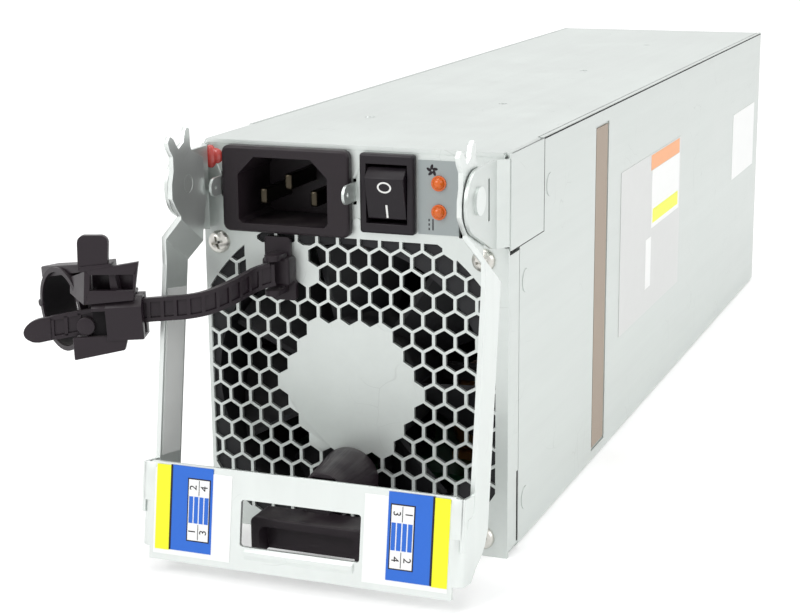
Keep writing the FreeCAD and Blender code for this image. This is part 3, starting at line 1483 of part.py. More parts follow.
def fan_wires():
    """Two fan leads running down behind the grille to the board."""
    back = S.wall + S.fan_depth
    for name, shift, label in (("red_lead", 0.0, "fan_wire_red"),
                               ("blue_lead", 2.2, "fan_wire_blue")):
        wire_path(name, [
            (30.0 + shift, back + 1.2, 66.0), (31.5 + shift, back + 2.6, 50.0),
            (31.0 + shift, back + 3.6, 30.0), (30.0 + shift, back + 6.0, 16.0),
            (24.5 + shift, back + 11.0, 10.4)], 0.8, label)


def build_all():
    """Draw every piece."""
    chassis_tray()
    side_rivets()
    top_cover()
    front_panel()
    rear_panel()
    inlet_housing()
    inlet_pins()
    switch_bezel()
    switch_rocker()
    legend_plate()
    indicator("fan_indicator", S.lamp_high)
    indicator("supply_indicator", S.lamp_low)
    lamp_holders()
    fan_frame()
    fan_rotor()
    fan_screws()
    sealed_screw()
    bail_handle()
    pivot_rivets()
    handle_labels()
    lever_sticker()
    latch_post()
    latch_grip()
    strap_anchor()
    retainer_strap()
    clamp_body()
    clamp_jaw()
    gasket_strips()
    side_label("rating_film", "rating_label", (108.0, 187.6), (30.8, 81.0))
    side_label("rear_film", "rear_label", (279.0, 322.0), (51.0, 76.0))
    main_board()
    board_standoffs()
    board_screws()
    insulation_sheet()
    heat_sinks()
    bulk_capacitors()
    transformer()
    filter_choke()
    output_connector()
    fan_wires()


def write_parts():
    """Check every object and write one STEP file per node."""
    doc.recompute()
    for obj in doc.Objects:
        if "Invalid" in obj.State or "Error" in obj.State:
            raise RuntimeError("%s is not valid: %s" % (obj.Name, obj.State))
    os.makedirs("parts", exist_ok=True)
    for obj in NODES:
        if obj.Shape.isNull() or not obj.Shape.isValid() or not obj.Shape.Solids:
            raise RuntimeError("%s has no valid solid" % obj.Label)
        obj.Shape.exportStep(os.path.join("parts", obj.Label + ".step"))
        bounds = obj.Shape.BoundBox
        print("%-22s %2d solids  x %.2f %.2f  y %.2f %.2f  z %.2f %.2f" % (
            obj.Label, len(obj.Shape.Solids), bounds.XMin, bounds.XMax,
            bounds.YMin, bounds.YMax, bounds.ZMin, bounds.ZMax))


build_all()
write_parts()
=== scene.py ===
import json
import math

import bmesh
import bpy
from bpy.props import FloatProperty, FloatVectorProperty, IntProperty, PointerProperty
from mathutils import Matrix, Vector


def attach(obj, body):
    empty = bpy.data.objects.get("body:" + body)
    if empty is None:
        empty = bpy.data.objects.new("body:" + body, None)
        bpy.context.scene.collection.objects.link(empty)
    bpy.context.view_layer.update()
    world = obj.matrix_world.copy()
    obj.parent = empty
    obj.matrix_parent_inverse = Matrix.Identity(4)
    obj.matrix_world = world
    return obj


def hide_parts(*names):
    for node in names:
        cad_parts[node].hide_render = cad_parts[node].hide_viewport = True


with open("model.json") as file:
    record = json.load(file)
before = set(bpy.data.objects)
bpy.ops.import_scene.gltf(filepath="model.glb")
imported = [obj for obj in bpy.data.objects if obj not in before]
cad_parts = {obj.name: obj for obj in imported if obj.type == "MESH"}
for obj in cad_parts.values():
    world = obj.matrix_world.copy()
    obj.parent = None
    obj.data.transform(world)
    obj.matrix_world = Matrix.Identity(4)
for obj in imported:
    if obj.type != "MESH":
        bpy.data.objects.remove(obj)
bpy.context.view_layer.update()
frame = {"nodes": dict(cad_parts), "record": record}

bl_info = {
    "name": "Hot swap power supply",
    "version": (1, 0, 0),
    "blender": (4, 5, 0),
    "location": "3D View > Sidebar > Supply",
    "description": "Builds the looks of a hot swap power supply round its solid model",
    "category": "Object",
}

NODES = frame["nodes"]
JOINTS = {joint["name"]: joint for joint in frame["record"]["behaviour"]["joints"]}
MM = 0.001
FLAT_AREA = 4e-5  # faces larger than this, in square metres, are shaded flat
CASE_SHIFT = -166.0  # the drawing's y = 0 lies at the front panel, in mm


def joint_place(name):
    """A joint's place as a drawing point in millimetres."""
    x, y, z = (part / MM for part in JOINTS[name]["pos_m"])
    return Vector((x, y - CASE_SHIFT, z))


LEVER_PIVOT = joint_place("lever_swing")
LEVER_REST = math.radians(8.8)  # how far the lever stands open as drawn
FAN_CENTRE = joint_place("fan_spin")
SCREW_OFFSET = 35.75  # half the screw square of the fan
PLATE_FRONT = -24.3  # front of the handle plate when the lever is closed
COVER_SIDE = 41.2  # outer face of the top cover's side
SUNK = 0.2  # how far trim reaches into the sheet that carries it
ROCKER_PIVOT = joint_place("switch_rock")
ROCKER_TILT = math.radians(13.0)  # slope of the rocker's face that carries the marks
STRAP_POINTS = (
    (-19.0, -6.5, 70.6), (-22.6, -9.0, 69.4), (-25.2, -16.5, 67.7), (-28.7, -21.9, 66.2),
    (-33.4, -24.0, 65.1), (-39.8, -24.6, 64.2), (-45.3, -26.1, 63.6))
LAP_OUTLINE = ((0.4, 102.7), (0.4, 79.1), (27.5, 79.0), (27.5, 102.7))  # depth and height
SHADOW_LINE_LOW = 2.2  # lower and upper end of the painted shadow line, a near-black strip in the right side
SHADOW_LINE_HIGH = 20.9
CLAMP_ENTRY = Vector(STRAP_POINTS[-1])
CLAMP_ALONG = Vector(JOINTS["clamp_slide"]["axis"]).normalized()
CLAMP_FRONT = Vector((-CLAMP_ALONG.y, CLAMP_ALONG.x, 0.0)).normalized()
CLAMP_UP = CLAMP_ALONG.cross(CLAMP_FRONT)
TAIL_LENGTH = 30.5  # strap past the clamp entry
TAIL_DROP = 0.15  # fall of the strap's free end for each mm past the clamp entry
TIP_LENGTH = 4.6  # length of the rounded end
TIP_ROOT = 3.0  # straight part of the smooth end
RING_CENTRE = (19.7, -13.0, -1.1)  # middle of the plug ring in the clamp's own frame
RING_TURN = math.radians(42.0)  # how far the ring turns away from the strap
RING_RADIUS = 10.8
RING_WALL = 1.2
RING_HALF = 4.8  # half the length of the ring along its axis
INK = 0.02  # half the thickness of a printed number
SHADE = 1  # the second finish of a piece: near-black painted shade for gaps and hollows
BOX_RINGS = ((0, 1, 3, 2), (4, 6, 7, 5), (0, 4, 5, 1), (2, 3, 7, 6), (0, 2, 6, 4), (1, 5, 7, 3))


# ---------------------------------------------------------------- settings

class SupplySizes(bpy.types.PropertyGroup):
    """Sizes that a user would change."""

    sheet_edge: FloatProperty(
        name="Sheet edge", description="Rounding of the sheet metal edges",
        default=0.12 * MM, min=0.02 * MM, max=0.5 * MM, unit="LENGTH", precision=5)
    moulding_edge: FloatProperty(
        name="Moulding edge", description="Rounding of the inlet moulding's edges",
        default=0.3 * MM, min=0.05 * MM, max=1.0 * MM, unit="LENGTH", precision=5)
    strap_height: FloatProperty(
        name="Strap height", description="Height of the ladder strap",
        default=6.0 * MM, unit="LENGTH", precision=5)
    strap_band: FloatProperty(
        name="Strap band", description="Thickness of the strap between its rungs",
        default=0.6 * MM, unit="LENGTH", precision=5)
    rung_pitch: FloatProperty(
        name="Rung pitch", description="Distance between the strap rungs",
        default=3.5 * MM, unit="LENGTH", precision=5)
    rung_width: FloatProperty(
        name="Rung width", description="Width of a strap rung",
        default=0.9 * MM, unit="LENGTH", precision=5)
    strap_depth: FloatProperty(
        name="Strap depth", description="Thickness of the strap at its rails and rungs",
        default=1.5 * MM, unit="LENGTH", precision=5)
    strap_rail: FloatProperty(
        name="Strap rail", description="Height of the rails along both strap edges",
        default=1.0 * MM, unit="LENGTH", precision=5)
    screw_head: FloatProperty(
        name="Screw head", description="Radius of the fan screw heads",
        default=3.0 * MM, unit="LENGTH", precision=5)
    screw_rise: FloatProperty(
        name="Screw rise", description="Height of the fan screw heads",
        default=1.9 * MM, unit="LENGTH", precision=5)
    label_film: FloatProperty(
        name="Print thickness", description="Thickness of the printed colour patches",
        default=0.05 * MM, unit="LENGTH", precision=5)
    bar_count: IntProperty(
        name="Label bars", description="Bars in the handle label field", default=4, min=1)
    ground_size: FloatProperty(
        name="Ground size", description="Side of the pale floor", default=14.0,
        unit="LENGTH")


class SupplyColours(bpy.types.PropertyGroup):
    """Colours that a user would change."""

    case_sheet: FloatVectorProperty(
        name="Case sheet", description="Colour of the case metal", subtype="COLOR",
        default=(0.60, 0.635, 0.615), min=0, max=1)
    lever_sheet: FloatVectorProperty(
        name="Lever sheet", description="Colour of the lever metal", subtype="COLOR",
        default=(0.70, 0.735, 0.715), min=0, max=1)
    black_moulding: FloatVectorProperty(
        name="Black moulding", description="Colour of the black plastic", subtype="COLOR",
        default=(0.017, 0.0115, 0.0155), min=0, max=1)
    lamp_orange: FloatVectorProperty(
        name="Lamp", description="Colour of the indicator lenses", subtype="COLOR",
        default=(0.66, 0.115, 0.001), min=0, max=1)
    label_white: FloatVectorProperty(
        name="Label white", description="Colour of the white labels", subtype="COLOR",
        default=(0.86, 0.87, 0.86), min=0, max=1)
    label_blue: FloatVectorProperty(
        name="Label blue", description="Colour of the blue blocks", subtype="COLOR",
        default=(0.012, 0.13, 0.60), min=0, max=1)
    label_yellow: FloatVectorProperty(
        name="Label yellow", description="Colour of the yellow bands", subtype="COLOR",
        default=(0.86, 0.88, 0.012), min=0, max=1)
    label_orange: FloatVectorProperty(
        name="Label orange", description="Colour of the orange band", subtype="COLOR",
        default=(0.86, 0.36, 0.13), min=0, max=1)
    seal_red: FloatVectorProperty(
        name="Seal red", description="Colour of the screw lacquer", subtype="COLOR",
        default=(0.55, 0.05, 0.04), min=0, max=1)
    gasket_tan: FloatVectorProperty(
        name="Gasket", description="Colour of the gasket strip", subtype="COLOR",
        default=(0.40, 0.33, 0.27), min=0, max=1)
    ground: FloatVectorProperty(
        name="Ground", description="Colour of the floor", subtype="COLOR",
        default=(0.86, 0.86, 0.86), min=0, max=1)


def sizes():
    """The size settings of the scene, in metres."""
    return bpy.context.scene.supply_sizes


def drawn(name):
    """A size setting in millimetres, as the drawing gives it."""
    return getattr(sizes(), name) / MM


def colours():
    """The colour settings of the scene."""
    return bpy.context.scene.supply_colours


# ---------------------------------------------------------------- node trees

def put(tree, kind, settings=None, **inputs):
    """Add a node, set its properties, and fill or link its inputs.

    An input goes by its name, with _ for a space, or by i and its number.
    """
    made = tree.nodes.new(kind)
    for key, value in (settings or {}).items():
        setattr(made, key, value)
    for key, value in inputs.items():
        if key[0] == "i" and key[1:].isdigit():
            socket = made.inputs[int(key[1:])]
        else:
            socket = made.inputs[key.replace("_", " ")]
        if isinstance(value, bpy.types.NodeSocket):
            tree.links.new(value, socket)
        else:
            socket.default_value = value
    return made


def product(tree, first, second):
    """Two values multiplied, as a socket."""
    return put(tree, "ShaderNodeMath", {"operation": "MULTIPLY"}, i0=first,
               i1=second).outputs[0]


def new_group(name, kind, inputs, outputs):
    """An empty node group with named sockets."""
    tree = bpy.data.node_groups.new(name, kind)
    for label, socket_type, default in inputs:
        socket = tree.interface.new_socket(label, in_out="INPUT", socket_type=socket_type)
        if default is not None:
            socket.default_value = default
    for label, socket_type in outputs:
        tree.interface.new_socket(label, in_out="OUTPUT", socket_type=socket_type)
    return tree, tree.nodes.new("NodeGroupInput"), tree.nodes.new("NodeGroupOutput")


def shader_group(name, build, inputs, outputs):
    """A shader node group, built the first time it is asked for."""
    found = bpy.data.node_groups.get(name)
    if found:
        return found
    tree, start, end = new_group(name, "ShaderNodeTree", inputs, outputs)
    build(tree, start, end)
    return tree


def build_mottle(tree, start, end):
    """Cloudy variation of two sizes."""
    coarse = put(tree, "ShaderNodeTexNoise", Vector=start.outputs["Vector"],
                 Scale=start.outputs["Scale"], Detail=4.0, Roughness=0.6)
    finer = product(tree, start.outputs["Scale"], 5.3)
    fine = put(tree, "ShaderNodeTexNoise", Vector=start.outputs["Vector"],
               Scale=finer, Detail=3.0)
    both = put(tree, "ShaderNodeMix", {"data_type": "FLOAT"}, i0=0.35,
               i2=coarse.outputs["Fac"], i3=fine.outputs["Fac"])
    tree.links.new(both.outputs[0], end.inputs["Value"])


def mottle_group():
    """Cloudy variation, used by every finish."""
    return shader_group(
        "cloudy_variation", build_mottle,
        [("Vector", "NodeSocketVector", None), ("Scale", "NodeSocketFloat", 40.0)],
        [("Value", "NodeSocketFloat")])


def build_brush(tree, start, end):
    """Long streaks along one axis."""
    stretched = put(tree, "ShaderNodeVectorMath", {"operation": "MULTIPLY"},
                    i0=start.outputs["Vector"], i1=start.outputs["Stretch"])
    streaks = put(tree, "ShaderNodeTexNoise", Vector=stretched.outputs[0],
                  Scale=1.0, Detail=3.0, Roughness=0.7)
    tree.links.new(streaks.outputs["Fac"], end.inputs["Value"])


def brush_group():
    """Rolling streaks of sheet metal."""
    return shader_group(
        "rolling_streaks", build_brush,
        [("Vector", "NodeSocketVector", None),
         ("Stretch", "NodeSocketVector", (300.0, 12.0, 300.0))],
        [("Value", "NodeSocketFloat")])


def build_scuff(tree, start, end):
    """Thin sparse scratches."""
    bent = put(tree, "ShaderNodeTexNoise", Vector=start.outputs["Vector"], Scale=30.0)
    moved = put(tree, "ShaderNodeMix", {"data_type": "VECTOR"}, i0=0.06,
                i4=start.outputs["Vector"], i5=bent.outputs["Color"])
    cells = put(tree, "ShaderNodeTexVoronoi", {"feature": "DISTANCE_TO_EDGE"},
                Vector=moved.outputs[1], Scale=start.outputs["Scale"])
    line = put(tree, "ShaderNodeMapRange", Value=cells.outputs["Distance"],
               From_Min=0.0, From_Max=0.012, To_Min=1.0, To_Max=0.0)
    patch = put(tree, "ShaderNodeTexNoise", Vector=start.outputs["Vector"], Scale=55.0)
    keep = put(tree, "ShaderNodeMapRange", Value=patch.outputs["Fac"],
               From_Min=0.56, From_Max=0.64, To_Min=0.0, To_Max=1.0)
    tree.links.new(product(tree, line.outputs[0], keep.outputs[0]), end.inputs["Mask"])


def scuff_group():
    """Fine scratches from handling."""
    return shader_group(
        "handling_scratches", build_scuff,
        [("Vector", "NodeSocketVector", None), ("Scale", "NodeSocketFloat", 60.0)],
        [("Mask", "NodeSocketFloat")])


def build_dust(tree, start, end):
    """Dust on faces that look up."""
    surface = put(tree, "ShaderNodeNewGeometry")
    parts = put(tree, "ShaderNodeSeparateXYZ", Vector=surface.outputs["Normal"])
    up = put(tree, "ShaderNodeMapRange", Value=parts.outputs["Z"],
             From_Min=0.2, From_Max=1.0)
    patch = put(tree, "ShaderNodeTexNoise", Vector=start.outputs["Vector"],
                Scale=start.outputs["Scale"], Detail=5.0)
    clumps = put(tree, "ShaderNodeMapRange", Value=patch.outputs["Fac"],
                 From_Min=0.4, From_Max=0.75)
    both = product(tree, up.outputs[0], clumps.outputs[0])
    tree.links.new(product(tree, both, start.outputs["Amount"]), end.inputs["Mask"])


def dust_group():
    """Light dust on upward faces."""
    return shader_group(
        "settled_dust", build_dust,
        [("Vector", "NodeSocketVector", None), ("Scale", "NodeSocketFloat", 80.0),
         ("Amount", "NodeSocketFloat", 0.3)],
        [("Mask", "NodeSocketFloat")])


# ---------------------------------------------------------------- materials

def scaled(colour, factor):
    """A colour made darker or lighter, as four numbers."""
    return tuple(min(1.0, part * factor) for part in colour[:3]) + (1.0,)


def start_material(name, roughness, metallic):
    """A material with its shader and the object coordinates."""
    material = bpy.data.materials.new(name)
    material.use_nodes = True
    tree = material.node_tree
    shader = tree.nodes["Principled BSDF"]
    shader.inputs["Roughness"].default_value = roughness
    shader.inputs["Metallic"].default_value = metallic
    place = put(tree, "ShaderNodeTexCoord").outputs["Object"]
    return material, tree, shader, place


def use_group(tree, group, **inputs):
    """Place a shared shader group in a material."""
    return put(tree, "ShaderNodeGroup", {"node_tree": group}, **inputs)


def shade_between(tree, mask, first, second):
    """A colour that goes from the first to the second with a mask."""
    return put(tree, "ShaderNodeMix", {"data_type": "RGBA"}, i0=mask, i6=first,
               i7=second).outputs[2]


def bumped(tree, shader, height, strength, distance):
    """Feed a height into the shader's normal."""
    bump = put(tree, "ShaderNodeBump", Strength=strength, Distance=distance, Height=height)
    tree.links.new(bump.outputs["Normal"], shader.inputs["Normal"])


def sheet_metal(name, colour, roughness=0.42, metallic=0.8, stretch=(260.0, 9.0, 260.0),
                scuffs=0.25):
    """Plated sheet with rolling streaks, soft spangle and fine scratches."""
    material, tree, shader, place = start_material(name, roughness, metallic)
    cloud = use_group(tree, mottle_group(), Vector=place, Scale=22.0).outputs["Value"]
    streak = use_group(tree, brush_group(), Vector=place, Stretch=stretch).outputs["Value"]
    scratch = use_group(tree, scuff_group(), Vector=place, Scale=70.0).outputs["Mask"]
    base = shade_between(tree, cloud, scaled(colour, 0.88), scaled(colour, 1.12))
    lined = shade_between(tree, streak, scaled(colour, 0.9), scaled(colour, 1.1))
    half = shade_between(tree, 0.4, base, lined)
    weak = product(tree, scratch, scuffs)
    final = shade_between(tree, weak, half, scaled(colour, 0.55))
    tree.links.new(final, shader.inputs["Base Color"])
    rough = put(tree, "ShaderNodeMapRange", Value=cloud, From_Min=0.3, From_Max=0.7,
                To_Min=roughness - 0.07, To_Max=roughness + 0.09)
    tree.links.new(rough.outputs[0], shader.inputs["Roughness"])
    bumped(tree, shader, streak, 0.12, 0.0002)
    return material


def moulded_plastic(name, colour, roughness=0.42, grain=0.25, grain_scale=2600.0, dust=0.1):
    """Moulded plastic with a fine spark grain and a little dust."""
    material, tree, shader, place = start_material(name, roughness, 0.0)
    shader.inputs["Specular IOR Level"].default_value = 0.26
    cloud = use_group(tree, mottle_group(), Vector=place, Scale=60.0).outputs["Value"]
    film = use_group(tree, dust_group(), Vector=place, Scale=160.0,
                     Amount=dust).outputs["Mask"]
    base = shade_between(tree, cloud, scaled(colour, 0.8), scaled(colour, 1.2))
    dusty = shade_between(tree, film, base, (0.4, 0.38, 0.36, 1.0))
    tree.links.new(dusty, shader.inputs["Base Color"])
    rough = put(tree, "ShaderNodeMapRange", Value=cloud, From_Min=0.3, From_Max=0.7,
                To_Min=roughness - 0.06, To_Max=roughness + 0.08)
    tree.links.new(rough.outputs[0], shader.inputs["Roughness"])
    spark = put(tree, "ShaderNodeTexNoise", Vector=place, Scale=grain_scale, Detail=2.0)
    bumped(tree, shader, spark.outputs["Fac"], grain, 0.00008)
    return material


def printed_film(name, colour, roughness=0.4):
    """Printed label film with faint paper fibre."""
    material, tree, shader, place = start_material(name, roughness, 0.0)
    fibre = use_group(tree, mottle_group(), Vector=place, Scale=220.0).outputs["Value"]
    base = shade_between(tree, fibre, scaled(colour, 0.95), scaled(colour, 1.04))
    tree.links.new(base, shader.inputs["Base Color"])
    bumped(tree, shader, fibre, 0.05, 0.0001)
    return material


def lacquer(name, colour, roughness=0.25, coat=0.5):
    """Glossy coloured coat with soft clouds under it."""
    material, tree, shader, place = start_material(name, roughness, 0.0)
    shader.inputs["Coat Weight"].default_value = coat
    cloud = use_group(tree, mottle_group(), Vector=place, Scale=140.0).outputs["Value"]
    base = shade_between(tree, cloud, scaled(colour, 0.75), scaled(colour, 1.2))
    tree.links.new(base, shader.inputs["Base Color"])
    bumped(tree, shader, cloud, 0.1, 0.0003)
    return material


def lamp_lens(name, colour):
    """Coloured lens that glows faintly from inside."""
    material, tree, shader, place = start_material(name, 0.2, 0.0)
    cloud = use_group(tree, mottle_group(), Vector=place, Scale=500.0).outputs["Value"]
    base = shade_between(tree, cloud, scaled(colour, 0.8), scaled(colour, 1.15))
    tree.links.new(base, shader.inputs["Base Color"])
    tree.links.new(base, shader.inputs["Emission Color"])
    shader.inputs["Emission Strength"].default_value = 0.05
    shader.inputs["Coat Weight"].default_value = 0.2
    return material


def woven_foam(name, colour):
    """Conductive gasket cloth with a fine weave."""
    material, tree, shader, place = start_material(name, 0.75, 0.1)
    weave = put(tree, "ShaderNodeTexWave", {"bands_direction": "Z"}, Vector=place,
                Scale=700.0, Distortion=1.5)
    base = shade_between(tree, weave.outputs["Fac"], scaled(colour, 0.82),
                         scaled(colour, 1.1))
    tree.links.new(base, shader.inputs["Base Color"])
    bumped(tree, shader, weave.outputs["Fac"], 0.3, 0.0001)
    return material


MATERIALS = {}


def material_for(name):
    """A finish by name, built the first time it is asked for."""
    if name in MATERIALS:
        return MATERIALS[name]
    tint = colours()
    black = tuple(tint.black_moulding)
    makers = {
        "case_sheet": lambda: sheet_metal("case_sheet", tint.case_sheet),
        "lever_sheet": lambda: sheet_metal(
            "lever_sheet", tint.lever_sheet, 0.36, 0.8, (200.0, 200.0, 8.0)),
        "zinc": lambda: sheet_metal(
            "zinc", (0.6, 0.59, 0.55), 0.3, 0.95, (500.0, 500.0, 500.0), 0.1),
        "black_moulding": lambda: moulded_plastic("black_moulding", black),
        "strap_nylon": lambda: moulded_plastic("strap_nylon", black, 0.36, 0.12),
        "switch_plastic": lambda: moulded_plastic(
            "switch_plastic", (0.012, 0.009, 0.012), 0.34, 0.15, 3000.0, 0.03),
        "inlet_plastic": lambda: moulded_plastic("inlet_plastic", (0.017, 0.012, 0.015)),
        # near-black painted shade, put on strips and plates where only shade falls
        "deep_shade": lambda: moulded_plastic("deep_shade", (0.003, 0.002, 0.003), 0.8),
        "fan_plastic": lambda: moulded_plastic(
            "fan_plastic", (0.018, 0.018, 0.02), 0.5, 0.2, 1800.0, 0.12),
        "white_mark": lambda: printed_film("white_mark", (0.8, 0.8, 0.78)),
        "label_white": lambda: printed_film("label_white", tint.label_white),
        "label_silver": lambda: printed_film("label_silver", (0.62, 0.63, 0.62), 0.35),
        "label_blue": lambda: printed_film("label_blue", tint.label_blue),
        "label_yellow": lambda: printed_film("label_yellow", tint.label_yellow),
        "label_orange": lambda: printed_film("label_orange", tint.label_orange),
        "legend_grey": lambda: printed_film("legend_grey", (0.31, 0.345, 0.345), 0.45),
        "seal_red": lambda: lacquer("seal_red", tint.seal_red),
        "lamp": lambda: lamp_lens("lamp", tint.lamp_orange),
        "gasket": lambda: woven_foam("gasket", tint.gasket_tan),
        "board": lambda: lacquer("board", (0.03, 0.14, 0.06), 0.35, 0.2),
        "aluminium": lambda: sheet_metal(
            "aluminium", (0.72, 0.73, 0.74), 0.35, 1.0, (9.0, 260.0, 260.0), 0.1),
        "ferrite": lambda: moulded_plastic("ferrite", (0.05, 0.05, 0.055), 0.6, 0.4),
        "winding": lambda: lacquer("winding", (0.45, 0.2, 0.07), 0.3, 0.3),
        "sleeve": lambda: moulded_plastic("sleeve", (0.02, 0.02, 0.035), 0.25, 0.05),
        "contact": lambda: sheet_metal(
            "contact", (0.62, 0.55, 0.38), 0.25, 1.0, (400.0, 20.0, 400.0), 0.05),
        "brass": lambda: sheet_metal(
            "brass", (0.05, 0.042, 0.03), 0.3, 1.0, (400.0, 20.0, 400.0), 0.05),
        "red_wire": lambda: moulded_plastic("red_wire", (0.5, 0.02, 0.02), 0.35, 0.05),
        "blue_wire": lambda: moulded_plastic("blue_wire", (0.03, 0.07, 0.45), 0.35, 0.05),
    }
    MATERIALS[name] = makers[name]()
    return MATERIALS[name]


# ---------------------------------------------------------------- mesh helpers

def dress(node, finish):
    """Give a solid node its finish."""
    obj = NODES[node]
    if not obj.material_slots:
        obj.data.materials.append(None)
    for slot in obj.material_slots:
        slot.material = material_for(finish)


def body_named(node):
    """The moving body that a node belongs to."""
    for body, members in frame["record"]["behaviour"]["bodies"].items():
        if node in members:
            return body
    raise RuntimeError("no body holds " + node)


def new_object(name, mesh):
    """Link a mesh into the scene."""
    obj = bpy.data.objects.new(name, mesh)
    bpy.context.scene.collection.objects.link(obj)
    return obj


def one_finish(mesh, finish):
    """Give all faces of a mesh the same finish."""
    mesh.materials.clear()
    mesh.materials.append(material_for(finish))
    mesh.polygons.foreach_set("material_index", [0] * len(mesh.polygons))


def smooth_by_angle(mesh, degrees=35.0):
    """Smooth shading with sharp edges kept."""
    mesh.polygons.foreach_set("use_smooth", [True] * len(mesh.polygons))
    mesh.set_sharp_from_angle(angle=math.radians(degrees))


def flatten_large(mesh):
    """Keep large flat faces free of the shading of their rounded edges."""
    for face in mesh.polygons:
        if face.area > FLAT_AREA:
            face.use_smooth = False


def softened(node, name, finish, width, segments=2, angle=28.0):
    """A copy of a solid with its hard edges rounded, standing for that node."""
    form = bmesh.new()
    form.from_mesh(NODES[node].data)
    bmesh.ops.remove_doubles(form, verts=form.verts, dist=2e-6)
    bmesh.ops.dissolve_limit(form, angle_limit=math.radians(0.6), verts=form.verts,
                             edges=form.edges)
    bmesh.ops.recalc_face_normals(form, faces=form.faces)
    limit = math.radians(angle)
    hard = [edge for edge in form.edges
            if len(edge.link_faces) == 2 and edge.calc_face_angle(0.0) > limit]
    bmesh.ops.bevel(form, geom=hard, offset=width * MM, segments=segments, profile=0.5,
                    affect="EDGES", clamp_overlap=True)
    mesh = bpy.data.meshes.new(name)
    form.to_mesh(mesh)
    form.free()
    one_finish(mesh, finish)
    smooth_by_angle(mesh)
    flatten_large(mesh)
    piece = new_object(name, mesh)
    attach(piece, body_named(node))
    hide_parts(node)
    return piece


def in_case(point):
    """A drawing point in millimetres as a scene point in metres."""
    return Vector((point[0], point[1] + CASE_SHIFT, point[2])) * MM


def on_lever(point):
    """A drawing point on the closed lever, turned to its drawn pose."""
    turned = Matrix.Rotation(-LEVER_REST, 3, "X") @ (Vector(point) - LEVER_PIVOT)
    return in_case(turned + LEVER_PIVOT)


def rounded(form, faces, width):
    """Round every edge of a few faces, unless the width is nothing."""
    if width > 0.0:
        edges = {edge for face in faces for edge in face.edges}
        bmesh.ops.bevel(form, geom=list(edges), offset=width * MM, segments=2, profile=0.5,
                        affect="EDGES", clamp_overlap=True)


def cornered(form, corners, place, material=0):
    """Add a block by its eight corners, and give back its faces."""
    made = [form.verts.new(place(corner)) for corner in corners]
    faces = [form.faces.new([made[index] for index in ring]) for ring in BOX_RINGS]
    for face in faces:
        face.material_index = material
    return faces


def plain_block(form, low, high, place, material=0, edge=0.0):
    """Add a block between two drawing corners to a mesh."""
    corners = [(x, y, z) for x in (low[0], high[0]) for y in (low[1], high[1])
               for z in (low[2], high[2])]
    rounded(form, cornered(form, corners, place, material), edge)


def mirrored_block(form, sign, low, high, place, material=0, edge=0.0):
    """Add a block that is drawn for the right side, on the side of the sign."""
    near, far = sorted((low[0] * sign, high[0] * sign))
    plain_block(form, (near,) + low[1:], (far,) + high[1:], place, material, edge)


def in_clamp(point):
    """A point along, in front of and above the clamp entry, as a scene point."""
    along, front, up = point
    return in_case(CLAMP_ENTRY + CLAMP_ALONG * along + CLAMP_FRONT * front + CLAMP_UP * up)


def on_tail(point):
    """A point along, in front of and above the strap's falling free end."""
    along, front, up = point
    return in_clamp((along, front, up - TAIL_DROP * along))


def in_ring(point):
    """A point on the turned plug ring: along its axis, across it and up."""
    turned = Matrix.Rotation(RING_TURN, 3, "Z") @ Vector(point)
    return in_clamp(turned + Vector(RING_CENTRE))


def extruded(form, outline, start, end, place, material=0, edge=0.0):
    """Add a prism whose outline gives the first and third coordinate."""
    near = [form.verts.new(place((a, start, b))) for a, b in outline]
    far = [form.verts.new(place((a, end, b))) for a, b in outline]
    faces = [form.faces.new(near), form.faces.new(far[::-1])]
    for index in range(len(outline)):
        following = (index + 1) % len(outline)
        faces.append(form.faces.new((near[following], near[index], far[index],
                                     far[following])))
    for face in faces:
        face.material_index = material
    rounded(form, faces, edge)


def swapped(place):
    """The same place with its first and second coordinate swapped."""
    return lambda point: place((point[1], point[0], point[2]))


def arc(radius, start, end, steps, centre=(0.0, 0.0), flat=1.0):
    """Points on an arc between two angles in degrees."""
    result = []
    for step in range(steps + 1):
        angle = math.radians(start + (end - start) * step / steps)
        result.append((centre[0] + radius * math.cos(angle),
                       centre[1] + radius * flat * math.sin(angle)))
    return result


def circle(radius, count, centre=(0.0, 0.0), flat=1.0):
    """Evenly spaced points round a circle, or round a flattened one."""
    return arc(radius, 0.0, 360.0 - 360.0 / count, count - 1, centre, flat)


def squashed_ball(form, centre, radii, place):
    """Add an ellipsoid of three radii."""
    made = bmesh.ops.create_uvsphere(form, u_segments=24, v_segments=14, radius=1.0)
    for vertex in made["verts"]:
        vertex.co = place(tuple(centre[axis] + radii[axis] * vertex.co[axis]
                                for axis in range(3)))


def finish_form(form, name, finishes, body):
    """Turn a working mesh into a piece on a body."""
    bmesh.ops.recalc_face_normals(form, faces=form.faces)
    mesh = bpy.data.meshes.new(name)
    form.to_mesh(mesh)
    form.free()
    for finish in finishes:
        mesh.materials.append(material_for(finish))
    smooth_by_angle(mesh)
    flatten_large(mesh)
    piece = new_object(name, mesh)
    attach(piece, body)
    return piece


